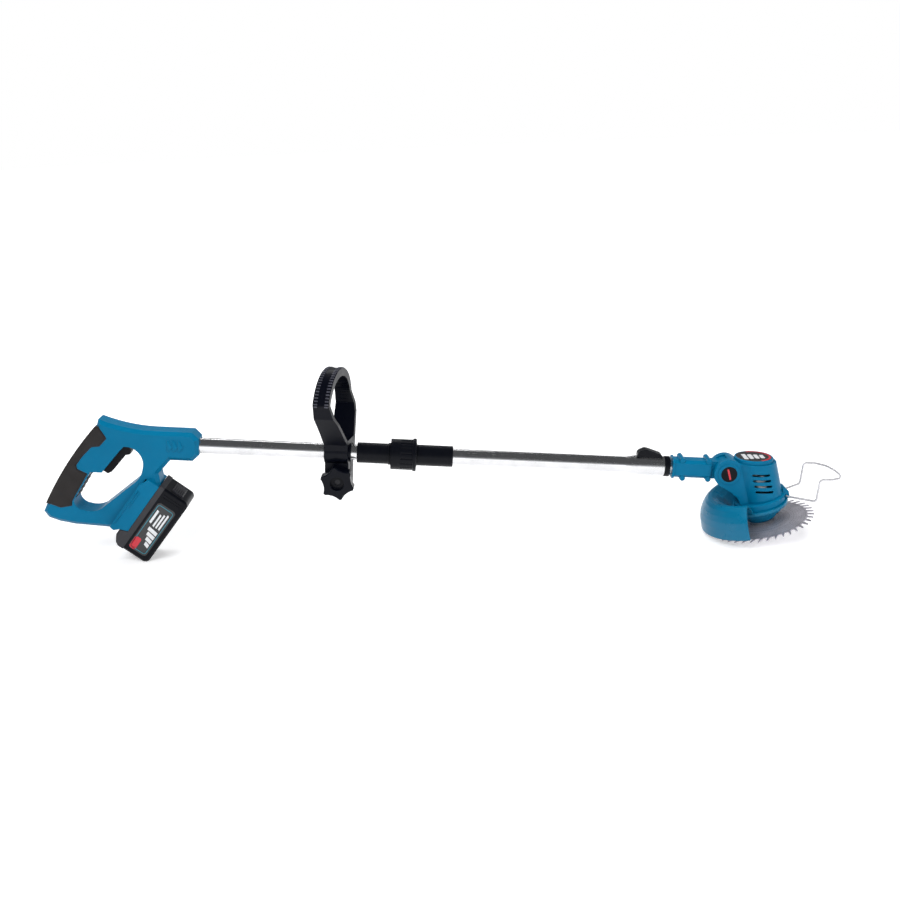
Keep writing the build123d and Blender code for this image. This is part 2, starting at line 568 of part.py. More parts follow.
with BuildPart() as battery_release:
    extrude(box_between(across(PACK, release_back), -release_half, release_half, release_low, release_top),
            amount=pack_end + release_proud - release_back)
    chamfer(battery_release.faces().sort_by(Axis(PACK.origin, PACK.x_dir))[-1].edges(), 1.0)
    extrude(box_between(across(PACK, release_back), -release_half - 1.5, release_half + 1.5, release_low,
                        release_top), amount=pack_end - wall - fit_gap - release_back)
    extrude(spot(across(PACK, release_back - 1), (0, (release_low + release_top) / 2), spring_radius + 1.2),
            amount=pack_end - wall - release_back + 2, mode=Mode.SUBTRACT)
battery_release.part.label = "battery_release"
export_step(battery_release.part, "parts/battery_release.step")

with BuildPart() as release_spring:
    with BuildLine():
        spring_coil = Helix(pitch=2.0, height=spring_end - rib_station - 2, radius=spring_radius,
                            center=PACK.from_local_coords(Vector(rib_station + 1.5, 0,
                                                                 (release_low + release_top) / 2)),
                            direction=PACK.x_dir)
    with BuildSketch(Plane(spring_coil @ 0, z_dir=spring_coil % 0)):
        Circle(0.5)
    sweep()
release_spring.part.label = "release_spring"
export_step(release_spring.part, "parts/release_spring.step")

# ---------------------------------------------------------------- telescopic inner tube and neck
with BuildPart() as inner_pole:
    extrude(disc(across(POLE, inner_start), inner_radius, inner_radius - inner_wall),
            amount=inner_end - inner_start)
inner_pole.part.label = "inner_pole"
export_step(inner_pole.part, "parts/inner_pole.step")

with BuildPart() as inner_bush:
    extrude(disc(across(POLE, inner_start - bush_length), pole_radius - pole_wall - slide_fit, bush_bore),
            amount=bush_length)
inner_bush.part.label = "inner_bush"
export_step(inner_bush.part, "parts/inner_bush.step")

with BuildPart() as coiled_lead:
    socket_back = lower_pole_start + plug_pin_length + 6
    coil_start = inner_start + 8
    extrude(spot(across(POLE, socket_back), (0, coil_radius), lead_radius - 0.3),
            amount=coil_start - socket_back)
    with BuildLine():
        lead_coil = Helix(pitch=coil_pitch, height=coil_pitch * coil_turns, radius=coil_radius,
                          center=POLE.from_local_coords(Vector(coil_start, 0, 0)), direction=POLE.x_dir)
    with BuildSketch(Plane(lead_coil @ 0, z_dir=lead_coil % 0)):
        Circle(lead_radius - 0.3)
    sweep()
coiled_lead.part.label = "coiled_lead"
export_step(coiled_lead.part, "parts/coiled_lead.step")

lug_places = [(neck_start + 13, lug_height), (neck_end - 4, lug_height),
              (neck_start + 15, -lug_height), (neck_end - 3, -lug_height)]

with BuildPart() as neck_near:
    for flange_start, flange_end, half in ((neck_start, neck_end, neck_half),
                                           (neck_start, neck_start + 3, neck_half + 1.5)):
        with BuildSketch(across(POLE, flange_start)) as neck_section:
            Rectangle(2 * half, 2 * half)
            chamfer(neck_section.vertices(), neck_chamfer)
        extrude(amount=flange_end - flange_start)
    for place in lug_places:
        extrude(spot(side(POLE), place, lug_radius), amount=neck_half, both=True)
    # tongue that the motor head tilts on
    extrude(box_between(side(POLE), neck_end - 1, pivot_point[0], -neck_half, neck_half), amount=tongue_half,
            both=True)
    extrude(spot(side(POLE), pivot_point, tongue_radius), amount=tongue_half, both=True)
    extrude(spot(side(POLE), pivot_point, pivot_radius + slide_fit), amount=tongue_half, both=True,
            mode=Mode.SUBTRACT)
    extrude(disc(across(POLE, neck_start), inner_radius), amount=inner_end - neck_start, mode=Mode.SUBTRACT)
    extrude(disc(across(POLE, inner_end), inner_radius - inner_wall), amount=neck_end - inner_end - 3,
            mode=Mode.SUBTRACT)
    for place in lug_places:
        extrude(spot(side(POLE), place, screw_radius), amount=neck_half - wall, mode=Mode.SUBTRACT)
    split(bisect_by=Plane.XZ, keep=Keep.TOP)
neck_near.part.label = "neck_near"
export_step(neck_near.part, "parts/neck_near.step")

with BuildPart() as neck_far:
    mirror(neck_near.part, about=Plane.XZ)
    for place in lug_places:
        extrude(spot(side(POLE, neck_half), place, screw_radius), amount=neck_half, mode=Mode.SUBTRACT)
neck_far.part.label = "neck_far"
export_step(neck_far.part, "parts/neck_far.step")

with BuildPart() as neck_screws:
    for place in lug_places:
        extrude(spot(side(POLE, neck_half), place, screw_radius - slide_fit),
                amount=2 * neck_half - wall - 0.5)
        extrude(spot(side(POLE, neck_half + screw_head_height), place, lug_radius - 0.9),
                amount=screw_head_height)
neck_screws.part.label = "neck_screws"
export_step(neck_screws.part, "parts/neck_screws.step")

# ---------------------------------------------------------------- front loop handle
clamp_frame = moved(POLE, x=clamp_station)
with BuildPart() as clamp_bush:
    extrude(disc(across(clamp_frame, -clamp_half), bush_outer, pole_radius + slide_fit),
            amount=2 * clamp_half)
    extrude(box_between(plan(clamp_frame, -30), -clamp_half - 5, clamp_half + 5, -0.8, 0.8), amount=25,
            mode=Mode.SUBTRACT)
clamp_bush.part.label = "clamp_bush"
export_step(clamp_bush.part, "parts/clamp_bush.step")

twist = radians(loop_twist)
TWISTED = Plane(clamp_frame.origin, x_dir=clamp_frame.x_dir * cos(twist) - clamp_frame.y_dir * sin(twist),
                z_dir=clamp_frame.z_dir)
with BuildPart() as front_handle:
    with BuildSketch(across(clamp_frame, -60)) as loop_section:
        with BuildLine():
            Polyline((-loop_half, loop_bend), (-loop_half, 60), (-clamp_outer, 14), (-clamp_outer, 4),
                     (clamp_outer, 4), (clamp_outer, 14), (loop_half, 60), (loop_half, loop_bend))
            ThreePointArc((loop_half, loop_bend), (0, loop_top), (-loop_half, loop_bend))
        make_face()
        with BuildLine():
            Polyline((strap - loop_half, loop_bend), (strap - loop_half, 60), (3 - clamp_outer, 20),
                     (clamp_outer - 3, 20), (loop_half - strap, 60), (loop_half - strap, loop_bend))
            ThreePointArc((loop_half - strap, loop_bend), (0, loop_top - grip_depth),
                          (strap - loop_half, loop_bend))
        make_face(mode=Mode.SUBTRACT)
        fillet(loop_section.vertices(), 3)
        Circle(clamp_outer)
        with Locations((0, -(clamp_drop + 12) / 2)):
            Rectangle(2 * lug_half, clamp_drop + 12)
    extrude(amount=120)
    loop_side = shape(side(TWISTED), [(16, -clamp_drop - 13), (16, 14), (10, 49), (0, 77), (0, loop_top + 2),
                                      (-21, loop_top + 2), (-21.5, 80), (-17, 35), (-16, 14),
                                      (-16, -clamp_drop - 13)])
    extrude(loop_side, amount=loop_half + 20, both=True, mode=Mode.INTERSECT)
    extrude(disc(across(clamp_frame, -60), bush_outer + slide_fit), amount=120, mode=Mode.SUBTRACT)
    extrude(box_between(plan(clamp_frame, -clamp_drop - 20), -40, 40, -slit_half, slit_half),
            amount=clamp_drop + 20, mode=Mode.SUBTRACT)
    extrude(spot(side(clamp_frame), (0, -clamp_drop), bolt_radius + 0.05), amount=40, both=True,
            mode=Mode.SUBTRACT)
front_handle.part.label = "front_handle"
export_step(front_handle.part, "parts/front_handle.step")

with BuildPart() as clamp_bolt:
    extrude(disc(side(moved(clamp_frame, z=-clamp_drop), lug_half), bolt_radius),
            amount=lug_half + knob_far - 8)
    extrude(disc(side(moved(clamp_frame, z=-clamp_drop), lug_half + 4), bolt_head), amount=4)
clamp_bolt.part.label = "clamp_bolt"
export_step(clamp_bolt.part, "parts/clamp_bolt.step")

with BuildPart() as handle_knob:
    knob_frame = moved(clamp_frame, z=-clamp_drop)
    with BuildSketch(side(knob_frame, -knob_near)) as star:
        Circle(knob_radius)
        with PolarLocations(knob_core + scallop_radius, knob_points, start_angle=12.5):
            Circle(scallop_radius, mode=Mode.SUBTRACT)
        fillet(star.vertices(), 1.2)
    extrude(amount=knob_far - knob_near)
    chamfer(handle_knob.faces().sort_by(Axis.Y)[0].edges(), 1.0)
    extrude(disc(side(knob_frame, -knob_far + 7), knob_recess), amount=7, mode=Mode.SUBTRACT)
    extrude(disc(side(knob_frame, 0), bolt_radius + slide_fit), amount=60, mode=Mode.SUBTRACT)
handle_knob.part.label = "handle_knob"
export_step(handle_knob.part, "parts/handle_knob.step")

# ---------------------------------------------------------------- motor head
# HEAD frame: Z up the spindle, X forwards.
pivot_dx, pivot_dz = pivot_point[0] - blade_centre[0], pivot_point[1] - blade_centre[1]
pivot_u = pivot_dx * cos(lean) + pivot_dz * sin(lean)
pivot_w = -pivot_dx * sin(lean) + pivot_dz * cos(lean)
CAP = moved(HEAD, x=cap_centre[0], z=cap_centre[1], lift=-cap_slope)
MOTOR = moved(HEAD, x=motor_offset)


def cap_height(u):
    """Height in the HEAD frame of the plane that the cap sits on."""
    return cap_centre[1] - (u - cap_centre[0]) * tan(radians(cap_slope))


def head_section(plane, inset=0.0):
    """The head seen along its spindle: the round motor housing and the arms of the pivot."""
    with BuildSketch(plane) as drawn:
        with Locations((body_offset, 0)):
            Circle(body_radius - inset)
        with Locations(((pivot_u - 22 + body_offset) / 2, 0)):
            Rectangle(body_offset - pivot_u + 22, 2 * (ear_half - inset))
    return drawn.sketch


def head_side(plane, inset=0.0):
    """The head seen from its side, with the round ear about the pivot."""
    low, rear = body_low + inset, inset
    with BuildSketch(plane) as drawn:
        Polygon((body_front - inset, low),
                (body_front - inset + 2, cap_height(body_front + 2 - inset) - inset),
                (cap_left + rear, cap_height(cap_left + rear) - inset), (pivot_u + 2, pivot_w + 6),
                (pivot_u - ear_radius * 0.72 + rear, pivot_w - ear_radius * 0.69 + rear),
                (-37 + rear, 60.5), (-30 + rear, 50.5), (-27 + rear, low), align=None)
        with Locations((pivot_u, pivot_w)):
            Circle(ear_radius - inset)
    return drawn.sketch


with BuildPart() as head_core:
    extrude(head_section(plan(HEAD, body_low)), amount=100)
    extrude(head_side(side(HEAD)), amount=60, both=True, mode=Mode.INTERSECT)

with BuildPart() as head_hollow:
    extrude(head_section(plan(HEAD, body_low), inset=wall), amount=100)
    extrude(head_side(side(HEAD), inset=wall), amount=60, both=True, mode=Mode.INTERSECT)
    with BuildSketch(plan(HEAD, 0)):
        with Locations((body_offset, 0)):
            Circle(body_radius - wall)
    extrude(amount=200, mode=Mode.INTERSECT)

with BuildPart() as head_near:
    add(head_core.part)
    extrude(spot(side(HEAD), (pivot_u, pivot_w), ear_ring), amount=ear_half + ring_proud, both=True)
    add(head_hollow.part, mode=Mode.SUBTRACT)
    extrude(disc(plan(CAP), cap_radius + 0.1), amount=20, mode=Mode.SUBTRACT)
    extrude(disc(plan(MOTOR, 0), shaft_radius + 2), amount=body_low + wall + 1, mode=Mode.SUBTRACT)
    # slot between the ears for the tongue of the neck
    extrude(spot(side(HEAD), (pivot_u, pivot_w), tongue_radius + 0.6), amount=tongue_half + fit_gap,
            both=True, mode=Mode.SUBTRACT)
    extrude(shape(side(HEAD), [(pivot_u, pivot_w), (pivot_u + 8, pivot_w + 40), (pivot_u - 40, pivot_w + 40),
                               (pivot_u - 40, pivot_w - 22), (pivot_u - 18, pivot_w - 26)]),
            amount=tongue_half + fit_gap, both=True, mode=Mode.SUBTRACT)
    extrude(spot(side(HEAD), (pivot_u, pivot_w), pivot_radius), amount=40, both=True, mode=Mode.SUBTRACT)
    for face_y in (-ear_half - ring_proud, ear_half + ring_proud - cap_sink):
        extrude(spot(side(HEAD, face_y + cap_sink), (pivot_u, pivot_w), pivot_cap_radius), amount=cap_sink,
                mode=Mode.SUBTRACT)
    for number in range(vent_count):
        vent_z = vent_low + number * vent_pitch
        vent = moved(HEAD, x=vent_u, z=vent_z, lift=-cap_slope)
        with BuildSketch(side(vent)):
            SlotOverall(vent_length, vent_width)
        extrude(amount=60, both=True, mode=Mode.SUBTRACT)
    for place in head_screw_places:
        extrude(spot(side(HEAD), place, post_radius), amount=ear_half, both=True)
        extrude(spot(side(HEAD), place, screw_radius), amount=ear_half - screw_sink, mode=Mode.SUBTRACT)
    split(bisect_by=Plane.XZ, keep=Keep.TOP)
head_near.part.label = "head_near"
export_step(head_near.part, "parts/head_near.step")

with BuildPart() as head_far:
    mirror(head_near.part, about=Plane.XZ)
    for place in head_screw_places:
        extrude(spot(side(HEAD, body_radius), place, screw_radius), amount=body_radius, mode=Mode.SUBTRACT)
        extrude(spot(side(HEAD, body_radius), place, screw_head), amount=body_radius - ear_half + screw_sink,
                mode=Mode.SUBTRACT)
head_far.part.label = "head_far"
export_step(head_far.part, "parts/head_far.step")

with BuildPart() as head_screws:
    for place in head_screw_places:
        extrude(spot(side(HEAD, ear_half - screw_sink), place, screw_radius - slide_fit),
                amount=2 * (ear_half - screw_sink) - 0.5)
        extrude(spot(side(HEAD, ear_half - screw_sink + screw_head_height), place, screw_head - slide_fit),
                amount=screw_head_height)
    # four more from below hold the guard
    with BuildSketch(plan(HEAD, cone_step - screw_head_height)):
        with PolarLocations(flange_screw_circle, 4, start_angle=45):
            Circle(screw_head - slide_fit)
    extrude(amount=screw_head_height)
    with BuildSketch(plan(HEAD, cone_step)):
        with PolarLocations(flange_screw_circle, 4, start_angle=45):
            Circle(screw_radius - slide_fit)
    extrude(amount=screw_top - cone_step)
head_screws.part.label = "head_screws"
export_step(head_screws.part, "parts/head_screws.step")

with BuildPart() as head_cap:
    extrude(disc(plan(CAP), cap_radius), amount=cap_thickness)
    fillet(head_cap.edges().filter_by(GeomType.CIRCLE).sort_by(Axis(CAP.origin, CAP.z_dir))[-1], 1.8)
    extrude(disc(plan(CAP, cap_thickness - badge_recess), badge_radius), amount=5, mode=Mode.SUBTRACT)
    # clears the tongue of the neck
    extrude(spot(side(HEAD), (pivot_u, pivot_w), tongue_radius + 1), amount=tongue_half + 0.6, both=True,
            mode=Mode.SUBTRACT)
head_cap.part.label = "head_cap"
export_step(head_cap.part, "parts/head_cap.step")

with BuildPart() as head_badge:
    extrude(disc(plan(CAP, cap_thickness - badge_recess), badge_radius - 0.1), amount=badge_recess)
head_badge.part.label = "head_badge"
export_step(head_badge.part, "parts/head_badge.step")

with BuildPart() as pivot_bolt:
    extrude(spot(side(HEAD, ear_half + ring_proud - cap_sink), (pivot_u, pivot_w), pivot_radius),
            amount=2 * (ear_half + ring_proud - cap_sink))
pivot_bolt.part.label = "pivot_bolt"
export_step(pivot_bolt.part, "parts/pivot_bolt.step")

with BuildPart() as pivot_caps:
    for face_y in (-ear_half - ring_proud, ear_half + ring_proud - cap_sink):
        extrude(spot(side(HEAD, face_y + cap_sink), (pivot_u, pivot_w), pivot_cap_radius - 0.1),
                amount=cap_sink)
pivot_caps.part.label = "pivot_caps"
export_step(pivot_caps.part, "parts/pivot_caps.step")

with BuildPart() as motor_can:
    extrude(disc(plan(MOTOR, motor_low), motor_radius, shaft_radius + 1), amount=motor_length)
    chamfer(motor_can.edges().filter_by(GeomType.CIRCLE).sort_by(SortBy.RADIUS)[-2:], 1.5)
motor_can.part.label = "motor_can"
export_step(motor_can.part, "parts/motor_can.step")

def toothed(plane, tip, root, count):
    """A gear outline with straight-sided teeth between its root and tip radius."""
    pitch = 2 * pi / count
    points = []
    for number in range(count):
        for share, radius in ((-0.28, root), (-0.14, tip), (0.14, tip), (0.28, root)):
            angle = (number + share) * pitch
            points.append((radius * cos(angle), radius * sin(angle)))
    return shape(plane, points)


with BuildPart() as motor_shaft:
    extrude(disc(plan(MOTOR, pinion_low), shaft_radius), amount=fan_low + fan_height + 1 - pinion_low)
    extrude(toothed(plan(MOTOR, pinion_low), pinion_tip, pinion_root, pinion_teeth), amount=pinion_width)
    # cooling fan on the upper end
    extrude(disc(plan(MOTOR, fan_low), fan_radius), amount=1.2)
    extrude(disc(plan(MOTOR, fan_low), 6), amount=fan_height)
    with BuildSketch(plan(MOTOR, fan_low)):
        with PolarLocations((fan_radius + 5) / 2, fan_blades):
            Rectangle(fan_radius - 5, 1.2)
    extrude(amount=fan_height)
motor_shaft.part.label = "motor_shaft"
export_step(motor_shaft.part, "parts/motor_shaft.step")

with BuildPart() as collar:
    with BuildSketch(plan(HEAD, collar_low)):
        with Locations((collar_offset, 0)):
            Circle(collar_radius)
    extrude(amount=body_low - collar_low)
    collar_edges = collar.edges().filter_by(GeomType.CIRCLE).sort_by(Axis(HEAD.origin, HEAD.z_dir))
    chamfer(collar_edges[-1], 2.0)
    extrude(disc(plan(HEAD, hub_low), hub_radius), amount=collar_low - hub_low + 1)
    extrude(disc(plan(HEAD, collar_low + 3), ring_outer + 1.5), amount=30, mode=Mode.SUBTRACT)
    extrude(disc(plan(HEAD, hub_low - 1), spindle_radius + 2), amount=30, mode=Mode.SUBTRACT)
    extrude(disc(plan(HEAD, collar_low + 3 - bearing_width), bearing_radius), amount=bearing_width + 1,
            mode=Mode.SUBTRACT)
    # boss on the front that carries the plant guard
    boss_rear = body_front + 1
    boss = shape(side(HEAD), [(boss_rear, collar_low), (boss_front, collar_low),
                              (boss_front, collar_low + 10), (boss_front - 3, boss_top),
                              (boss_rear, boss_top)], 1.5)
    extrude(boss, amount=boss_half, both=True)
    extrude(box_between(side(HEAD), collar_radius - 6, boss_rear + 2, collar_low, body_low - 1),
            amount=boss_half, both=True)
    extrude(spot(side(HEAD), wire_pivot, wire_radius + slide_fit), amount=60, both=True, mode=Mode.SUBTRACT)
    with Locations(plan(HEAD, collar_low).location):
        with PolarLocations(flange_screw_circle, 4, start_angle=45):
            Cylinder(screw_radius, 2 * (screw_top - collar_low), mode=Mode.SUBTRACT)
collar.part.label = "collar"
export_step(collar.part, "parts/collar.step")

def inner_face(points, thickness):
    """The points moved square to the line through them, to its right, by a wall's thickness."""
    moved_points = []
    for number, (x, y) in enumerate(points):
        before, after = points[max(number - 1, 0)], points[min(number + 1, len(points) - 1)]
        run, rise = after[0] - before[0], after[1] - before[1]
        moved_points.append((x + rise / hypot(run, rise) * thickness, y - run / hypot(run, rise) * thickness))
    return moved_points


with BuildPart() as guard:
    start = radians(180 - dome_reach)
    outwards = HEAD.x_dir * cos(start) + HEAD.y_dir * sin(start)
    with BuildSketch(Plane(HEAD.origin, x_dir=outwards, z_dir=outwards.cross(HEAD.z_dir))):
        Polygon(*dome_outer, *reversed(inner_face(dome_outer, dome_wall)), align=None)
    revolve(axis=head_axis, revolution_arc=2 * dome_reach)
    extrude(disc(plan(HEAD, guard_flange_low), flange_radius, hub_radius + 0.2), amount=flange_thickness)
    with BuildSketch(plan(HEAD, guard_flange_low)):
        with PolarLocations(flange_screw_circle, 4, start_angle=45):
            Circle(screw_radius)
    extrude(amount=flange_thickness, mode=Mode.SUBTRACT)
guard.part.label = "guard"
export_step(guard.part, "parts/guard.step")

with BuildPart() as hub_cone:
    extrude(disc(plan(HEAD, cone_low), cone_low_radius), amount=cone_step - cone_low)
    chamfer(hub_cone.edges().filter_by(GeomType.CIRCLE).sort_by(Axis(HEAD.origin, HEAD.z_dir))[0], 3.0)
    extrude(disc(plan(HEAD, cone_step), cone_top_radius), amount=guard_flange_low - cone_step)
    extrude(disc(plan(HEAD, hub_low), hub_radius + 0.2), amount=10, mode=Mode.SUBTRACT)
    extrude(disc(plan(HEAD, cone_low - 1), spindle_radius + 2), amount=30, mode=Mode.SUBTRACT)
    extrude(disc(plan(HEAD, cone_low + 1), bearing_radius), amount=bearing_width, mode=Mode.SUBTRACT)
    with BuildSketch(plan(HEAD, cone_step)):
        with PolarLocations(flange_screw_circle, 4, start_angle=45):
            Circle(screw_radius)
    extrude(amount=guard_flange_low - cone_step, mode=Mode.SUBTRACT)
hub_cone.part.label = "hub_cone"
export_step(hub_cone.part, "parts/hub_cone.step")

with BuildPart() as spindle_bearings:
    for bearing_low in (cone_low + 1, collar_low + 3 - bearing_width):
        extrude(disc(plan(HEAD, bearing_low), bearing_radius, spindle_radius + bearing_fit),
                amount=bearing_width)
spindle_bearings.part.label = "spindle_bearings"
export_step(spindle_bearings.part, "parts/spindle_bearings.step")

with BuildPart() as spindle:
    extrude(disc(plan(HEAD, spindle_low), spindle_radius), amount=spindle_high - spindle_low)
    extrude(disc(plan(HEAD, cone_low + bearing_width + 2), shoulder_radius), amount=shoulder_length)
spindle.part.label = "spindle"
export_step(spindle.part, "parts/spindle.step")

with BuildPart() as ring_gear:
    extrude(disc(plan(HEAD, ring_low), ring_outer, spindle_radius), amount=ring_high - ring_low)
    extrude(toothed(plan(HEAD, ring_low + 1.4), ring_root, ring_tip, ring_teeth), amount=ring_high - ring_low,
            mode=Mode.SUBTRACT)
ring_gear.part.label = "ring_gear"
export_step(ring_gear.part, "parts/ring_gear.step")

with BuildPart() as blade_flanges:
    extrude(disc(plan(HEAD, blade_thickness / 2), flange_clamp_radius, spindle_radius), amount=flange_up)
    extrude(disc(plan(HEAD, -blade_thickness / 2), arbor_radius, spindle_radius), amount=blade_thickness)
    extrude(disc(plan(HEAD, -blade_thickness / 2 - flange_down), flange_clamp_radius - 2, spindle_radius),
            amount=flange_down)
blade_flanges.part.label = "blade_flanges"
export_step(blade_flanges.part, "parts/blade_flanges.step")

with BuildPart() as saw_blade:
    tooth_pitch = 360 / blade_teeth
    outline = []
    for number in range(blade_teeth):
        tip_angle = 180 + number * tooth_pitch
        for radius, angle in ((blade_root, tip_angle + blade_rake - blade_root_half),
                              (blade_radius, tip_angle - blade_tip_half),
                              (blade_radius, tip_angle + blade_tip_half),
                              (blade_root, tip_angle + blade_rake + blade_root_half)):
            outline.append((radius * cos(radians(angle)), radius * sin(radians(angle))))
    extrude(shape(plan(HEAD, -blade_thickness / 2), outline), amount=blade_thickness)
    extrude(disc(plan(HEAD, -blade_thickness / 2), arbor_radius), amount=blade_thickness, mode=Mode.SUBTRACT)
saw_blade.part.label = "saw_blade"
export_step(saw_blade.part, "parts/saw_blade.step")

with BuildPart() as blade_nut:
    nut_top = -blade_thickness / 2 - flange_down
    with BuildSketch(plan(HEAD, nut_top - nut_height)):
        RegularPolygon(nut_flats / 2, 6, major_radius=False)
        Circle(spindle_radius, mode=Mode.SUBTRACT)
    extrude(amount=nut_height)
blade_nut.part.label = "blade_nut"
export_step(blade_nut.part, "parts/blade_nut.step")

# ---------------------------------------------------------------- folding plant guard of bent wire
with BuildPart() as wire_guard:
    wire_points = [(wire_pivot[0], 0, wire_pivot[1]), (wire_pivot[0], -14, wire_pivot[1]), (71, -39, 24.5),
                   (82, -39, 54), (98, -38, 49.5), (110, -29, 45), (116, -15, 41.8), (118, 0, 40.5)]
    half_path = [HEAD.from_local_coords(Vector(*place)) for place in wire_points]
    with BuildLine() as wire_path:
        FilletPolyline(*half_path, radius=wire_bend)
    with BuildSketch(Plane(half_path[0], z_dir=(0, -1, 0))):
        Circle(wire_radius)
    sweep(path=wire_path.line)
    mirror(about=Plane.XZ)
wire_guard.part.label = "wire_guard"
export_step(wire_guard.part, "parts/wire_guard.step")
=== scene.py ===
"""Dresses a battery pole brush cutter: finishes, raised details, prints, lights and camera.

Lengths inside the classes are millimetres in the tool's own axes, and meshes are stored in metres.
"""
from __future__ import annotations

import json
import logging
import math
from dataclasses import dataclass
from enum import Enum
from typing import Sequence

import bmesh
import bpy
from mathutils import Matrix, Vector

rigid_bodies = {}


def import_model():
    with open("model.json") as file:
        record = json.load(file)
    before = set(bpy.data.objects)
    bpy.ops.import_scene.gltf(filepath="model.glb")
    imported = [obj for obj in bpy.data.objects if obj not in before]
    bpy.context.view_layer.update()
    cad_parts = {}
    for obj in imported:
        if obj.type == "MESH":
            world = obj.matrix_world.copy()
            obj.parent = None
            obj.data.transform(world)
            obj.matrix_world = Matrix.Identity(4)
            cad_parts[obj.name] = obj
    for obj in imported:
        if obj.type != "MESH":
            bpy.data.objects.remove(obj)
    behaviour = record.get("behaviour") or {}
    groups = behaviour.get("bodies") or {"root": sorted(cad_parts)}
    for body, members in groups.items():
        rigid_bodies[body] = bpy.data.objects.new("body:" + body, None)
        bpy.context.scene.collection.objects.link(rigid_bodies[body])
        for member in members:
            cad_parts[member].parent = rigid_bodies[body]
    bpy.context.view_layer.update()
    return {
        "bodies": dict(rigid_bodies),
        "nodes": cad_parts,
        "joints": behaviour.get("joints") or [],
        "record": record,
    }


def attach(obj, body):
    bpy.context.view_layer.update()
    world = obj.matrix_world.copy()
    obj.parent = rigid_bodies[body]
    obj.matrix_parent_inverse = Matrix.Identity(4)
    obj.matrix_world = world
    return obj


log = logging.getLogger("brush_cutter")
MM = 0.001
NUT_STATION = -60.0      # place of the coupling nut's joint along the pole
RAIL_STATION = 30.0      # place of the rail mount along the battery rails
SHARP = 0.6              # edges that bend more than this, in radians, are bevelled
SMOOTH = 35              # faces that meet at less than this, in degrees, are shaded as one
WELD = 0.001             # corners nearer than this, in millimetres, are joined
FILM = 0.12              # how far a print stands out of its face, in millimetres
CAP_FILM = 0.1           # the same for the prints on the cap
ROOT = 0.05              # how far a print reaches into its face, in millimetres
NOISE_MIDDLE = (0.3, 0.7)        # the range that holds nearly all of a noise
EDGE_TURN = (0.995, 0.86)        # how far a rounded normal turns, as a cosine, where wear starts and is full


class Body(Enum):
    """Rigid bodies of the frame that pieces ride on."""

    HANDLE = "handle"
    BATTERY = "battery"
    LOOP = "loop_handle"
    HEAD = "head"
    RELEASE = "release"


@dataclass(frozen=True)
class Axes:
    """A right-handed set of axes whose side axis is the frame's +Y at rest."""

    origin: Vector
    along: Vector
    up: Vector

    def matrix(self) -> Matrix:
        """Gives the matrix that takes millimetres in these axes to metres in the frame."""
        side = self.up.cross(self.along)
        turn = Matrix((self.along, side, self.up)).transposed().to_4x4()
        return Matrix.Translation(self.origin) @ turn @ Matrix.Scale(MM, 4)

    def at(self, x: float, y: float, z: float) -> Vector:
        """Gives the frame position, in metres, of a point in millimetres."""
        return self.matrix() @ Vector((x, y, z))

    def lifted(self, degrees: float, x: float = 0.0, z: float = 0.0) -> "Axes":
        """Moves the axes within themselves and lifts the first towards the last.

        Args:
            degrees: How far the along axis is lifted towards the up axis.
            x: Shift along the tool, in millimetres.
            z: Shift upwards, in millimetres.

        Returns:
            The moved axes.
        """
        turn = math.radians(degrees)
        along = self.along * math.cos(turn) + self.up * math.sin(turn)
        up = self.up * math.cos(turn) - self.along * math.sin(turn)
        return Axes(self.at(x, 0, z), along, up)


@dataclass(frozen=True)
class ToolAxes:
    """The axes that the sub-assemblies are drawn in."""

    pole: Axes
    pack: Axes
    head: Axes

    @staticmethod
    def read(frame: dict) -> "ToolAxes":
        """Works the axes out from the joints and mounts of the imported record.


        Returns:
            The axes of the pole, the battery pack and the motor head.
        """
        joints = {joint["name"]: joint for joint in frame["record"]["behaviour"]["joints"]}
        mounts = {mount["name"]: mount for mount in frame["record"]["mounts"]}
        pole_along = Vector(joints["nut_turn"]["axis"])
        pole_start = Vector(joints["nut_turn"]["pos_m"]) - pole_along * NUT_STATION * MM
        pack_along = -Vector(joints["battery_slide"]["axis"])
        pack_start = Vector(mounts["pack_rails"]["pos_m"]) - pack_along * RAIL_STATION * MM
        head_up = Vector(joints["blade_spin"]["axis"])
        side = Vector((0, 1, 0))
        return ToolAxes(
            pole=Axes(pole_start, pole_along, pole_along.cross(side)),
            pack=Axes(pack_start, pack_along, pack_along.cross(side)),
            head=Axes(Vector(joints["blade_spin"]["pos_m"]), side.cross(head_up), head_up),
        )


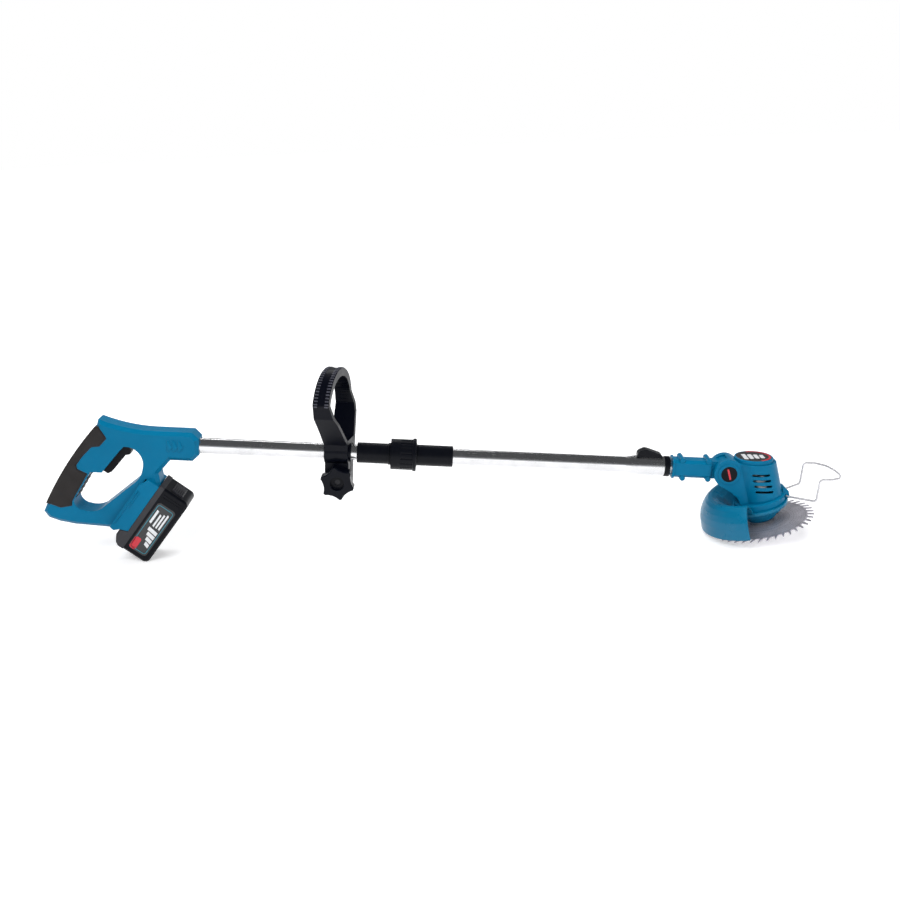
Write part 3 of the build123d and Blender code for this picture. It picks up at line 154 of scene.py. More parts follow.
# ------------------------------------------------------------------------------------------- finishes
class Bench:
    """A material under construction, with short calls for its shader nodes."""

    def __init__(self, name: str) -> None:
        """Starts an empty material with one Principled shader."""
        self.material = bpy.data.materials.new(name)
        self.material.use_nodes = True
        self.tree = self.material.node_tree
        self.shader = self.tree.nodes["Principled BSDF"]
        self.coords = self.tree.nodes.new("ShaderNodeTexCoord").outputs["Object"]

    def add(self, kind: str, inputs: dict | None = None, **settings: object) -> bpy.types.Node:
        """Adds a node, sets its properties and fills or links its inputs.

        Args:
            kind: The node's type, without the leading ShaderNode.
            inputs: Values or output sockets, by input name or number.
            **settings: Properties of the node.

        Returns:
            The node.
        """
        node = self.tree.nodes.new("ShaderNode" + kind)
        for name, value in settings.items():
            setattr(node, name, value)
        for name, value in (inputs or {}).items():
            if isinstance(value, bpy.types.NodeSocket):
                self.tree.links.new(value, node.inputs[name])
            else:
                node.inputs[name].default_value = value
        return node

    def noise(self, scale: float, detail: float = 3.0, stretch: Vector | None = None,
              roughness: float = 0.55) -> bpy.types.NodeSocket:
        """Adds a noise over the piece.

        Args:
            scale: Cells per metre.
            detail: Octaves.
            stretch: Scale on each axis, for grain that runs one way.
            roughness: How strongly the finer octaves count.

        Returns:
            The noise's value socket.
        """
        coords = self.coords
        if stretch is not None:
            coords = self.add("Mapping", {"Vector": coords, "Scale": stretch}).outputs[0]
        inputs = {"Vector": coords, "Scale": scale, "Detail": detail, "Roughness": roughness}
        return self.add("TexNoise", inputs).outputs["Fac"]

    def ramp(self, value: bpy.types.NodeSocket, span: tuple[float, float],
             result: tuple[float, float]) -> bpy.types.NodeSocket:
        """Maps a value from one range to another, and holds it at the ends."""
        inputs = {"Value": value, "From Min": span[0], "From Max": span[1], "To Min": result[0],
                  "To Max": result[1]}
        return self.add("MapRange", inputs).outputs[0]

    def spread(self, value: bpy.types.NodeSocket, low: float, high: float) -> bpy.types.NodeSocket:
        """Maps the middle of a noise to the range from low to high."""
        return self.ramp(value, NOISE_MIDDLE, (low, high))

    def combine(self, operation: str, first: bpy.types.NodeSocket,
                second: bpy.types.NodeSocket) -> bpy.types.NodeSocket:
        """Combines two values by a Math node's operation."""
        return self.add("Math", {0: first, 1: second}, operation=operation).outputs[0]

    def blend(self, amount: bpy.types.NodeSocket, first: Sequence[float],
              second: Sequence[float]) -> bpy.types.NodeSocket:
        """Mixes two colours by a value."""
        node = self.add("Mix", {0: amount, 6: (*first, 1.0), 7: (*second, 1.0)}, data_type="RGBA")
        return node.outputs[2]

    def soft_edges(self, radius: float) -> bpy.types.NodeSocket:
        """Gives a normal that rounds sharp edges over a radius in metres."""
        return self.add("Bevel", {"Radius": radius}, samples=6).outputs[0]

    def edge_mask(self, rounded: bpy.types.NodeSocket) -> bpy.types.NodeSocket:
        """Gives 1 on sharp edges and 0 on flats, from a rounded normal.

        Args:
            rounded: The normal from soft_edges.

        Returns:
            The mask's value socket.
        """
        flat = self.add("NewGeometry").outputs["Normal"]
        dot = self.add("VectorMath", {0: rounded, 1: flat}, operation="DOT_PRODUCT").outputs["Value"]
        return self.ramp(dot, EDGE_TURN, (0.0, 1.0))

    def bump(self, height: bpy.types.NodeSocket, distance: float, strength: float,
             normal: bpy.types.NodeSocket) -> bpy.types.NodeSocket:
        """Turns a height into a normal.

        Args:
            height: The height's value socket.
            distance: Depth of the relief, in metres.
            strength: How much of it shows.
            normal: The normal that it adds to.

        Returns:
            The new normal.
        """
        inputs = {"Height": height, "Distance": distance, "Strength": strength, "Normal": normal}
        return self.add("Bump", inputs).outputs[0]

    def shade(self, **inputs: object) -> bpy.types.Material:
        """Sets or links the shader's own inputs and gives the material.

        Args:
            **inputs: Values or sockets by input name, with underscores for spaces.

        Returns:
            The finished material.
        """
        for name, value in inputs.items():
            socket = self.shader.inputs[name.replace("_", " ")]
            if isinstance(value, bpy.types.NodeSocket):
                self.tree.links.new(value, socket)
            else:
                socket.default_value = value
        return self.material


@dataclass(frozen=True)
class MouldedPlastic:
    """Injection-moulded plastic with spark-eroded grain and paler edges that show wear, and that are a
    painted highlight on the serrations.
    """

    name: str
    colour: tuple[float, float, float]
    edge_wear_and_highlight: tuple[float, float, float]
    roughness: float = 0.4
    grain: float = 2600.0
    grain_depth: float = 0.00004
    edge: float = 0.0009
    specular: float = 0.5

    def make(self) -> bpy.types.Material:
        """Builds the material."""
        bench = Bench(self.name)
        rounded = bench.soft_edges(self.edge)
        broad = bench.spread(bench.noise(14.0, 4.0), 0.0, 1.0)
        darker = tuple(0.9 * part for part in self.colour)
        body = bench.blend(broad, darker, self.colour)
        patches = bench.spread(bench.noise(160.0), 0.0, 0.6)
        # paler edges: wear on most parts, a painted highlight on the serrations
        edge_wear_and_highlight_mask = bench.combine("MULTIPLY", bench.edge_mask(rounded), patches)
        mix = bench.add("Mix", {0: edge_wear_and_highlight_mask, 6: body, 7: (*self.edge_wear_and_highlight, 1.0)}, data_type="RGBA")
        rough = bench.spread(bench.noise(60.0, 5.0), self.roughness - 0.06, self.roughness + 0.08)
        grain = bench.noise(self.grain, 2.0)
        normal = bench.bump(grain, self.grain_depth, 0.35, rounded)
        return bench.shade(Base_Color=mix.outputs[2], Roughness=rough, Normal=normal,
                           Specular_IOR_Level=self.specular)


@dataclass(frozen=True)
class GripRubber:
    """Soft over-moulded rubber: a fine pebbled skin with dust in scattered patches."""

    name: str
    colour: tuple[float, float, float]
    dust: tuple[float, float, float]

    def make(self) -> bpy.types.Material:
        """Builds the material."""
        bench = Bench(self.name)
        rounded = bench.soft_edges(0.0012)
        pebbles = bench.add("TexVoronoi", {"Vector": bench.coords, "Scale": 1500.0}).outputs["Distance"]
        dusty = bench.spread(bench.noise(45.0, 6.0, roughness=0.65), 0.0, 0.55)
        colour = bench.blend(dusty, self.colour, self.dust)
        normal = bench.bump(pebbles, 0.00008, 0.4, rounded)
        rough = bench.spread(bench.noise(90.0), 0.62, 0.82)
        return bench.shade(Base_Color=colour, Roughness=rough, Normal=normal, Specular_IOR_Level=0.35,
                           Sheen_Weight=0.12, Sheen_Roughness=0.4)


@dataclass(frozen=True)
class DrawnTube:
    """Bright drawn tube with faint lengthwise draw lines and smudges."""

    name: str
    colour: tuple[float, float, float]
    along: Vector
    roughness: float = 0.14

    def make(self) -> bpy.types.Material:
        """Builds the material."""
        bench = Bench(self.name)
        turn = self.along.to_track_quat("X", "Z").to_euler()
        local = bench.add("Mapping", {"Vector": bench.coords, "Rotation": [-angle for angle in turn]},
                          vector_type="POINT").outputs[0]
        drawn = bench.add("Mapping", {"Vector": local, "Scale": Vector((3.0, 900.0, 900.0))}).outputs[0]
        lines = bench.add("TexNoise", {"Vector": drawn, "Scale": 1.0, "Detail": 3.0}).outputs["Fac"]
        smudge = bench.noise(28.0, 5.0)
        rough = bench.combine("ADD", bench.spread(lines, 0.0, 0.08),
                              bench.spread(smudge, self.roughness, self.roughness + 0.1))
        darker = tuple(0.82 * part for part in self.colour)
        colour = bench.blend(bench.spread(smudge, 0.0, 1.0), self.colour, darker)
        normal = bench.bump(lines, 0.00001, 0.25, bench.soft_edges(0.0004))
        return bench.shade(Base_Color=colour, Metallic=1.0, Roughness=rough, Normal=normal)


@dataclass(frozen=True)
class ForgedMetal:
    """Plain plated or machined metal with small scratches and duller patches."""

    name: str
    colour: tuple[float, float, float]
    roughness: float = 0.32
    scratch: float = 420.0
    metallic: float = 1.0

    def make(self) -> bpy.types.Material:
        """Builds the material."""
        bench = Bench(self.name)
        rounded = bench.soft_edges(0.0004)
        scratches = bench.noise(self.scratch, 2.0, Vector((1.0, 1.0, 9.0)))
        patches = bench.noise(55.0, 5.0)
        darker = tuple(0.7 * part for part in self.colour)
        colour = bench.blend(bench.spread(patches, 0.0, 1.0), self.colour, darker)
        rough = bench.spread(patches, self.roughness - 0.08, self.roughness + 0.12)
        return bench.shade(Base_Color=colour, Metallic=self.metallic, Roughness=rough,
                           Normal=bench.bump(scratches, 0.00002, 0.3, rounded))


@dataclass(frozen=True)
class GroundBlade:
    """Saw plate steel ground in rings about the spindle, with painted shade that darkens it towards its teeth
    in cloudy patches.
    """

    name: str
    colour: tuple[float, float, float]
    rim_shade: tuple[float, float, float]
    axes: Axes
    radius: float = 72.5
    metallic: float = 0.55

    def make(self) -> bpy.types.Material:
        """Builds the material."""
        bench = Bench(self.name)
        centred = bench.add("VectorMath", {0: bench.coords, 1: self.axes.origin},
                            operation="SUBTRACT").outputs[0]
        up = self.axes.up
        along_up = bench.add("VectorMath", {0: centred, 1: up}, operation="DOT_PRODUCT").outputs["Value"]
        rise = bench.add("VectorMath", {0: up, "Scale": along_up}, operation="SCALE").outputs[0]
        flat = bench.add("VectorMath", {0: centred, 1: rise}, operation="SUBTRACT").outputs[0]
        reach = bench.add("VectorMath", {0: flat}, operation="LENGTH").outputs["Value"]
        point = bench.add("CombineXYZ", {"X": reach}).outputs[0]
        rings = bench.add("TexNoise", {"Vector": point, "Scale": 1500.0, "Detail": 4.0}).outputs["Fac"]
        cloud = bench.noise(70.0, 6.0, roughness=0.7)
        # darker towards the teeth in cloudy patches: painted shade for a dim rim round a bright centre
        outer = bench.ramp(reach, (0.55 * self.radius * MM, self.radius * MM), (0.1, 0.75))
        rim_shade_mask = bench.combine("MULTIPLY", outer, bench.spread(cloud, 0.0, 1.0))
        colour = bench.blend(rim_shade_mask, self.colour, self.rim_shade)
        rough = bench.spread(rings, 0.2, 0.42)
        normal = bench.bump(rings, 0.00002, 0.35, bench.soft_edges(0.0003))
        return bench.shade(Base_Color=colour, Metallic=self.metallic, Roughness=rough, Normal=normal,
                           Anisotropic=0.35)


@dataclass(frozen=True)
class Print:
    """Printed film: an even colour under a thin, slightly uneven varnish."""

    name: str
    colour: tuple[float, float, float]
    roughness: float = 0.3

    def make(self) -> bpy.types.Material:
        """Builds the material."""
        bench = Bench(self.name)
        ink = bench.spread(bench.noise(900.0, 2.0), 0.0, 1.0)
        thin = tuple(min(1.0, 0.93 * part + 0.004) for part in self.colour)
        colour = bench.blend(ink, self.colour, thin)
        rough = bench.spread(bench.noise(120.0), self.roughness - 0.05, self.roughness + 0.1)
        normal = bench.bump(bench.noise(220.0), 0.00002, 0.2, bench.soft_edges(0.0002))
        return bench.shade(Base_Color=colour, Roughness=rough, Normal=normal, Coat_Weight=0.25,
                           Coat_Roughness=0.12)


class Paints:
    """All finishes of the tool, made once."""

    def __init__(self, axes: ToolAxes) -> None:
        """Makes every material.

        Args:
            axes: The tool's axes, which the grain of the tube and of the blade follows.
        """
        self.teal = MouldedPlastic("teal_plastic", (0.0, 0.158, 0.31), (0.02, 0.28, 0.45), 0.36,
                                   specular=0.12).make()
        self.guard_teal = MouldedPlastic("guard_plastic", (0.001, 0.165, 0.31), (0.04, 0.3, 0.46), 0.3,
                                         edge=0.0022, specular=0.3).make()
        self.charcoal = MouldedPlastic("charcoal_plastic", (0.003, 0.0036, 0.006), (0.02, 0.021, 0.028), 0.38,
                                       specular=0.13).make()
        self.ebony = MouldedPlastic("blue_black_plastic", (0.002, 0.0026, 0.006), (0.02, 0.024, 0.038), 0.32,
                                    specular=0.14).make()
        # the serrations are a paler black with still paler edges: a painted highlight that makes them stand
        # out as lit
        self.painted_highlight_black = MouldedPlastic("serrations_painted_highlight", (0.05, 0.052, 0.07), (0.2, 0.2, 0.25),
                                         0.35).make()
        self.end_grey = MouldedPlastic("pack_grey_plastic", (0.014, 0.014, 0.019), (0.05, 0.05, 0.06),
                                       0.42).make()
        self.rubber = GripRubber("grip_rubber", (0.012, 0.010, 0.010), (0.034, 0.03, 0.029)).make()
        self.tube = DrawnTube("chromed_tube", (0.78, 0.78, 0.79), axes.pole.along).make()
        self.wire = ForgedMetal("plated_wire", (0.72, 0.71, 0.74), 0.24, metallic=0.4).make()
        self.zinc = ForgedMetal("zinc_plated_steel", (0.55, 0.56, 0.58), 0.33).make()
        self.dark_steel = ForgedMetal("blackened_steel", (0.035, 0.035, 0.038), 0.4).make()
        # the blade's second colour is painted shade towards its teeth
        self.saw = GroundBlade("ground_saw_steel", (0.66, 0.64, 0.7), (0.12, 0.11, 0.14), axes.head).make()
        self.brass = ForgedMetal("brass_contact", (0.78, 0.5, 0.22), 0.3).make()
        self.board = Print("board_lacquer", (0.01, 0.12, 0.04), 0.4).make()
        self.cell = Print("cell_wrap", (0.05, 0.3, 0.16), 0.35).make()
        self.nylon = MouldedPlastic("nylon", (0.6, 0.58, 0.52), (0.7, 0.68, 0.62), 0.5).make()
        self.lead = GripRubber("lead_sheath", (0.012, 0.012, 0.013), (0.03, 0.03, 0.032)).make()
        self.film = Print("label_film", (0.012, 0.013, 0.016), 0.3).make()
        self.red = Print("red_ink", (0.62, 0.012, 0.03), 0.3).make()
        self.white = Print("white_ink", (0.82, 0.83, 0.85), 0.35).make()
        self.teal_ink = Print("teal_ink", (0.01, 0.22, 0.3), 0.3).make()
        # near-black finish for the screw crosses: a painted shadow standing in for the recess
        self.shadow = MouldedPlastic("painted_recess_shadow", (0.003, 0.003, 0.004), (0.01, 0.01, 0.012), 0.6).make()


# ------------------------------------------------------------------------------------------- mesh work
class Workpiece:
    """A mesh drawn in a set of axes, in millimetres, that becomes one piece of the tool."""

    def __init__(self, name: str, axes: Axes) -> None:
        """Starts an empty mesh."""
        self.name = name
        self.axes = axes
        self.mesh = bmesh.new()

    def face(self, points: Sequence[Vector]) -> bmesh.types.BMFace:
        """Makes one face from its corners."""
        corners = [self.mesh.verts.new(point) for point in points]
        return bmesh.ops.contextual_create(self.mesh, geom=corners)["faces"][0]

    def push(self, face: bmesh.types.BMFace, way: Vector) -> None:
        """Extrudes a face into a closed solid.

        Args:
            face: The face to extrude, which stays as the solid's other end.
            way: Direction and length of the extrusion.
        """
        grown = bmesh.ops.extrude_face_region(self.mesh, geom=[face], use_keep_orig=True)
        corners = [item for item in grown["geom"] if isinstance(item, bmesh.types.BMVert)]
        bmesh.ops.translate(self.mesh, vec=way, verts=corners)

    def slab(self, outline: Sequence[tuple[float, float]], low: float, high: float) -> None:
        """Adds a solid whose outline is drawn along and up, between two side positions.

        Args:
            outline: Corners as (along, up).
            low: Side position of the near face.
            high: Side position of the far face.
        """
        self.push(self.face([Vector((x, low, z)) for x, z in outline]), Vector((0, high - low, 0)))

    def both_sides(self, outline: Sequence[tuple[float, float]], half: float, out: float,
                   root: float) -> None:
        """Adds the same relief on a near and a far face.

        Args:
            outline: Corners as (along, up).
            half: How far each face is from the middle.
            out: How far the relief stands out.
            root: How far it reaches in.
        """
        self.slab(outline, -half - out, -half + root)
        self.slab(outline, half - root, half + out)

    def layer(self, outline: Sequence[tuple[float, float]], low: float, high: float) -> None:
        """Adds a solid whose outline is drawn along and sideways, between two heights.

        Args:
            outline: Corners as (along, side).
            low: Height of the lower face.
            high: Height of the upper face.
        """
        self.push(self.face([Vector((x, y, low)) for x, y in outline]), Vector((0, 0, high - low)))

    def bar(self, centre: Vector, size: Vector, turn: Matrix | None = None) -> None:
        """Adds a block.

        Args:
            centre: Its middle.
            size: Its length on each axis.
            turn: How it is turned about its middle.
        """
        place = Matrix.Translation(centre) @ (turn or Matrix.Identity(4)) @ Matrix.Diagonal((*size, 1.0))
        bmesh.ops.create_cube(self.mesh, size=1.0, matrix=place)

    def round_bar(self, start: Vector, end: Vector, radius: float, sides: int) -> None:
        """Adds a round bar between two points.

        Args:
            start: Centre of one end.
            end: Centre of the other end.
            radius: Radius of the bar.
            sides: Faces round it.
        """
        way = end - start
        place = Matrix.Translation((start + end) / 2) @ way.to_track_quat("Z", "Y").to_matrix().to_4x4()
        bmesh.ops.create_cone(self.mesh, cap_ends=True, segments=sides, radius1=radius, radius2=radius,
                              depth=way.length, matrix=place)

    def round_off(self, offset: float, segments: int = 2) -> "Workpiece":
        """Bevels every sharp edge.

        Args:
            offset: Width of the bevel.
            segments: Steps across it.

        Returns:
            This workpiece.
        """
        sharp = [edge for edge in self.mesh.edges if edge.is_manifold and edge.calc_face_angle() > SHARP]
        bmesh.ops.bevel(self.mesh, geom=sharp, offset=offset, affect="EDGES", segments=segments, profile=0.5,
                        material=-1)
        return self

    def done(self, body: Body, material: bpy.types.Material, slot: str) -> None:
        """Moves the mesh into the frame and makes it a piece that rides on a body.

        Args:
            body: The body that carries the piece.
            material: Its finish.
            slot: The record's material slot for it; not used.
        """
        bmesh.ops.recalc_face_normals(self.mesh, faces=self.mesh.faces)
        bmesh.ops.transform(self.mesh, matrix=self.axes.matrix(), verts=self.mesh.verts)
        data = bpy.data.meshes.new(self.name)
        self.mesh.to_mesh(data)
        self.mesh.free()
        data.shade_smooth()
        data.set_sharp_from_angle(angle=math.radians(SMOOTH))
        data.materials.append(material)
        piece = bpy.data.objects.new(self.name, data)
        bpy.context.collection.objects.link(piece)
        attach(piece, body.value)
        log.info("piece %s rides on %s: %d faces", self.name, body.value, len(data.polygons))


def rounded_box(x_low: float, x_high: float, y_low: float, y_high: float, radius: float,
                steps: int = 6) -> list[tuple[float, float]]:
    """Gives the corners of a rectangle with round corners.

    Args:
        x_low: Lowest first coordinate.
        x_high: Highest first coordinate.
        y_low: Lowest second coordinate.
        y_high: Highest second coordinate.
        radius: Radius of the corners.
        steps: Straight steps in each corner.

    Returns:
        The outline, in order.
    """
    outline = []
    centres = ((x_high - radius, y_high - radius, 0), (x_low + radius, y_high - radius, 90),
               (x_low + radius, y_low + radius, 180), (x_high - radius, y_low + radius, 270))
    for x, y, start in centres:
        for step in range(steps + 1):
            angle = math.radians(start + 90 * step / steps)
            outline.append((x + radius * math.cos(angle), y + radius * math.sin(angle)))
    return outline


def leaning_bar(x: float, z: float, width: float, height: float, lean: float) -> list[tuple[float, float]]:
    """Gives a bar that leans forwards, with its lower left corner at x, z."""
    return [(x, z), (x + width, z), (x + width + lean, z + height), (x + lean, z + height)]


def ring_strip(work: Workpiece, outer: Sequence[tuple[float, float]], inner: Sequence[tuple[float, float]],
               low: float, high: float) -> None:
    """Adds a flat closed frame between two outlines with the same number of corners.

    Args:
        work: The workpiece that it is added to.
        outer: Outer outline as (along, up).
        inner: Inner outline as (along, up).
        low: Side position of the near face.
        high: Side position of the far face.
    """
    for number in range(len(outer)):
        following = (number + 1) % len(outer)
        work.slab([outer[number], outer[following], inner[following], inner[number]], low, high)
    bmesh.ops.remove_doubles(work.mesh, verts=work.mesh.verts, dist=WELD)


# ------------------------------------------------------------------------------------------- sub-assemblies
@dataclass
class RearHandle:
    """Details of the D handle: arrows on the nose, shoe ribs, finger ridges and screw slots."""

    axes: ToolAxes
    paints: Paints
    half: float = 17.0
    shoe_half: float = 25.0
    relief: float = 1.0
    root: float = 0.3
    softness: float = 0.3
    arrow_starts: tuple[float, ...] = (-392.0, -384.5, -377.0)
    arrow_low: float = -6.0
    arrow_high: float = 10.5
    arrow_run: float = 6.0
    arrow_width: float = 2.4
    # start, end and height of each shoe rib, then its depth below and its rise at the end and the start
    rib_runs: tuple[tuple[float, float, float], ...] = ((-4.0, 56.0, 21.6), (26.0, 56.0, 18.2))
    rib_profile: tuple[float, float, float] = (0.9, 0.7, 0.3)
    ridge_start: tuple[float, float] = (-508.6, -49.0)
    ridge_step: tuple[float, float] = (-4.1, -7.05)
    ridge_count: int = 5
    ridge_radius: float = 4.4
    ridge_inset: float = 3.0
    ridge_sides: int = 28
    ridge_softness: float = 1.2
    screw_places: tuple[tuple[float, float], ...] = ((-362, 15.2), (-419, 10), (-474, 15), (-546, -103),
                                                     (-482, -112))
    screw_face: float = 15.0
    slot_size: tuple[float, float, float] = (3.4, 0.3, 0.8)     # long, thick, wide
    slot_stand: float = 0.05

    def arrows(self) -> None:
        """Raises three arrows on each side of the nose."""
        work = Workpiece("nose_arrows", self.axes.pole)
        middle = (self.arrow_low + self.arrow_high) / 2
        for start in self.arrow_starts:
            tip = start + self.arrow_run
            outline = [(start, self.arrow_high), (start + self.arrow_width, self.arrow_high),
                       (tip + self.arrow_width, middle), (start + self.arrow_width, self.arrow_low),
                       (start, self.arrow_low), (tip, middle)]
            work.both_sides(outline, self.half, self.relief, self.root)
        work.round_off(self.softness).done(Body.HANDLE, self.paints.teal, "teal_plastic")

    def shoe_ribs(self) -> None:
        """Raises two long ribs along each side of the battery shoe."""
        work = Workpiece("shoe_ribs", self.axes.pack)
        foot, end_crest, start_crest = self.rib_profile
        for start, end, height in self.rib_runs:
            outline = [(start, height - foot), (end, height - foot), (end, height + end_crest),
                       (start, height + start_crest)]
            work.both_sides(outline, self.shoe_half, self.relief, self.root)
        work.round_off(self.softness).done(Body.HANDLE, self.paints.teal, "teal_plastic")

    def finger_ridges(self) -> None:
        """Raises low ridges where the fingers close round the grip."""
        work = Workpiece("finger_ridges", self.axes.pole)
        reach = self.half - self.ridge_inset
        for number in range(self.ridge_count):
            x = self.ridge_start[0] + number * self.ridge_step[0]
            z = self.ridge_start[1] + number * self.ridge_step[1]
            work.round_bar(Vector((x, -reach, z)), Vector((x, reach, z)), self.ridge_radius,
                           self.ridge_sides)
        work.round_off(self.ridge_softness, 3).done(Body.HANDLE, self.paints.rubber, "black_rubber")

    def screw_slots(self) -> None:
        """Marks a dark cross on the face of each shell screw, a painted shadow where the drive recess would
        be.
        """
        work = Workpiece("shell_screw_crosses", self.axes.pole)
        long, thick, wide = self.slot_size
        for x, z in self.screw_places:
            for size in (Vector((long, thick, wide)), Vector((wide, thick, long))):
                work.bar(Vector((x, self.screw_face + self.slot_stand, z)), size)
        work.done(Body.HANDLE, self.paints.shadow, "charcoal_plastic")

    def build(self) -> None:
        """Builds every detail of the rear handle."""
        self.arrows()
        self.shoe_ribs()
        self.finger_ridges()
        self.screw_slots()


@dataclass
class BatteryPack:
    """Prints and mouldings of the battery pack."""

    axes: ToolAxes
    paints: Paints
    face: float = -25.0
    # boxes run from lowest to highest along, then up; sizes of bars are width, height and lean
    outline: tuple[float, float, float, float] = (-19.5, 57.0, -38.4, -13.4)
    corner: float = 4.0
    border: float = 0.9
    flash: tuple[float, float, float, float] = (-21.3, -1.5, -22.6, -12.6)
    flash_corner: float = 3.2
    step_count: int = 4
    step_start: tuple[float, float] = (-9.0, -35.6)
    step_pitch: float = 7.4
    step_size: tuple[float, float, float] = (5.6, 7.0, 2.4)
    step_growth: float = 2.7
    line_count: int = 3
    line_start: tuple[float, float] = (23.5, -35.0)
    line_pitch: float = 4.6
    line_size: tuple[float, float, float] = (26.0, 2.6, 1.0)
    line_loss: float = 2.5
    band: tuple[float, float, float, float, float] = (26.0, -19.8, 22.0, 3.4, 1.2)
    rib_places: tuple[float, ...] = (68.5, 72.5)
    rib_side: float = 25.1
    rib_height: float = -27.0
    rib_size: tuple[float, float, float] = (1.4, 0.9, 32.0)
    latch_ribs: int = 5
    latch_start: tuple[float, float] = (82.2, -32.0)
    latch_pitch: float = 3.0
    latch_size: tuple[float, float, float] = (0.9, 24.0, 1.1)

    def printed(self, name: str, outlines: Sequence[Sequence[tuple[float, float]]],
                material: bpy.types.Material) -> None:
        """Prints some closed shapes on the label.

        Args:
            name: The piece's name.
            outlines: The shapes, as (along, up).
            material: The ink.
        """
        work = Workpiece(name, self.axes.pack)
        for shape in outlines:
            work.slab(shape, self.face - FILM, self.face + ROOT)
        work.done(Body.BATTERY, material, "print")

    def label(self) -> None:
        """Prints a framed label with a charge scale and a few plain bars."""
        x_low, x_high, z_low, z_high = self.outline
        frame = Workpiece("label_frame", self.axes.pack)
        ring_strip(frame, rounded_box(x_low, x_high, z_low, z_high, self.corner),
                   rounded_box(x_low + self.border, x_high - self.border, z_low + self.border,
                               z_high - self.border, self.corner - self.border),
                   self.face - FILM, self.face + ROOT)
        frame.done(Body.BATTERY, self.paints.teal_ink, "print")
        self.printed("label_flash", [rounded_box(*self.flash, self.flash_corner)], self.paints.red)
        x, z = self.step_start
        width, height, lean = self.step_size
        steps = [leaning_bar(x + self.step_pitch * number, z, width, height + self.step_growth * number, lean)
                 for number in range(self.step_count)]
        self.printed("label_scale", steps, self.paints.white)
        x, z = self.line_start
        width, height, lean = self.line_size
        lines = [leaning_bar(x, z + self.line_pitch * number, width - self.line_loss * number, height, lean)
                 for number in range(self.line_count)]
        self.printed("label_lines", lines, self.paints.white)
        self.printed("label_bands", [leaning_bar(*self.band)], self.paints.white)

    def mouldings(self) -> None:
        """Raises two ribs on each side near the latch end, and grip ribs on the latch."""
        ribs = Workpiece("pack_end_ribs", self.axes.pack)
        for side in (-1, 1):
            for x in self.rib_places:
                ribs.bar(Vector((x, side * self.rib_side, self.rib_height)), Vector(self.rib_size))
        ribs.round_off(0.3).done(Body.BATTERY, self.paints.charcoal, "charcoal_plastic")
        grip = Workpiece("latch_ribs", self.axes.pack)
        x, z = self.latch_start
        for number in range(self.latch_ribs):
            grip.bar(Vector((x, 0, z + self.latch_pitch * number)), Vector(self.latch_size))
        grip.round_off(0.25).done(Body.RELEASE, self.paints.charcoal, "charcoal_plastic")

    def build(self) -> None:
        """Builds every detail of the battery pack."""
        self.label()
        self.mouldings()


@dataclass
class LoopHandle:
    """Ribs and serrations of the loop handle's grip."""

    axes: ToolAxes
    paints: Paints
    station: float = -155.0
    twist: float = 12.0
    depth: float = 21.0
    bend: float = 78.0
    half_steps: int = 8
    inner_half: float = 44.0
    inner_top: float = 108.0
    outer_half: float = 52.0
    outer_top: float = 119.0
    strap_low: float = 58.0
    rib_pitch: float = 5.2
    rib_margin: float = 3.0
    rib_section: tuple[float, float] = (1.1, 1.6)
    serration_inset: float = 3.4
    serration_low: float = 2.0
    serration_pitch: float = 4.0
    serration: tuple[float, float, float] = (5.0, 1.9, 2.4)     # along, round the loop, outwards

    def arch(self, half: float, top: float, low: float) -> list[tuple[float, float]]:
        """Gives the route up one strap, over the arch and down the other strap.

        Args:
            half: Half the width between the straps.
            top: Height of the arch.
            low: Height where the route starts and ends.

        Returns:
            The route as (side, up).
        """
        rise = top - self.bend
        radius = (half * half + rise * rise) / (2 * rise)
        centre = top - radius
        reach = math.atan2(half, self.bend - centre)
        route = [(-half, low)]
        for step in range(2 * self.half_steps + 1):
            angle = reach * (step / self.half_steps - 1)
            route.append((radius * math.sin(angle), centre + radius * math.cos(angle)))
        return [*route, (half, low)]

    def walk(self, route: Sequence[tuple[float, float]], pitch: float) -> list[tuple[Vector, float]]:
        """Steps evenly along a route in the plane of the loop.

        Args:
            route: Corners as (side, up).
            pitch: Length of a step.

        Returns:
            Each step's place as (0, side, up), and the angle of its run.
        """
        steps = []
        for (y0, z0), (y1, z1) in zip(route, route[1:]):
            run = math.hypot(y1 - y0, z1 - z0)
            count = max(1, round(run / pitch))
            angle = math.atan2(z1 - z0, y1 - y0)
            for number in range(count):
                share = (number + 0.5) / count
                steps.append((Vector((0, y0 + share * (y1 - y0), z0 + share * (z1 - z0))), angle))
        return steps

    def grip_edges(self, side: float) -> tuple[float, float]:
        """Gives where the grip starts and ends along the tool at a side position."""
        turn = math.radians(self.twist)
        return ((side * math.sin(turn) - self.depth) / math.cos(turn), side * math.tan(turn))

    def build(self) -> None:
        """Builds the inner ribs and the serrated edges."""
        clamp = self.axes.pole.lifted(0, x=self.station)
        ribs = Workpiece("loop_inner_ribs", clamp)
        inner = self.arch(self.inner_half, self.inner_top, self.strap_low)
        for place, angle in self.walk(inner, self.rib_pitch):
            start, end = self.grip_edges(place.y)
            place.x = (start + end) / 2
            ribs.bar(place, Vector((end - start - self.rib_margin, *self.rib_section)),
                     Matrix.Rotation(angle, 4, "X"))
        ribs.round_off(0.3, 1).done(Body.LOOP, self.paints.ebony, "blue_black_plastic")
        teeth = Workpiece("loop_serrations", clamp)
        outer = self.arch(self.outer_half, self.outer_top, self.bend - self.serration_low)
        for place, angle in self.walk(outer, self.serration_pitch):
            start, end = self.grip_edges(place.y)
            for x in (start + self.serration_inset, end - self.serration_inset):
                place.x = x
                teeth.bar(place, Vector(self.serration), Matrix.Rotation(angle, 4, "X"))
        # the serrations take the paler black: a painted highlight
        teeth.round_off(0.3, 1).done(Body.LOOP, self.paints.painted_highlight_black, "blue_black_plastic")


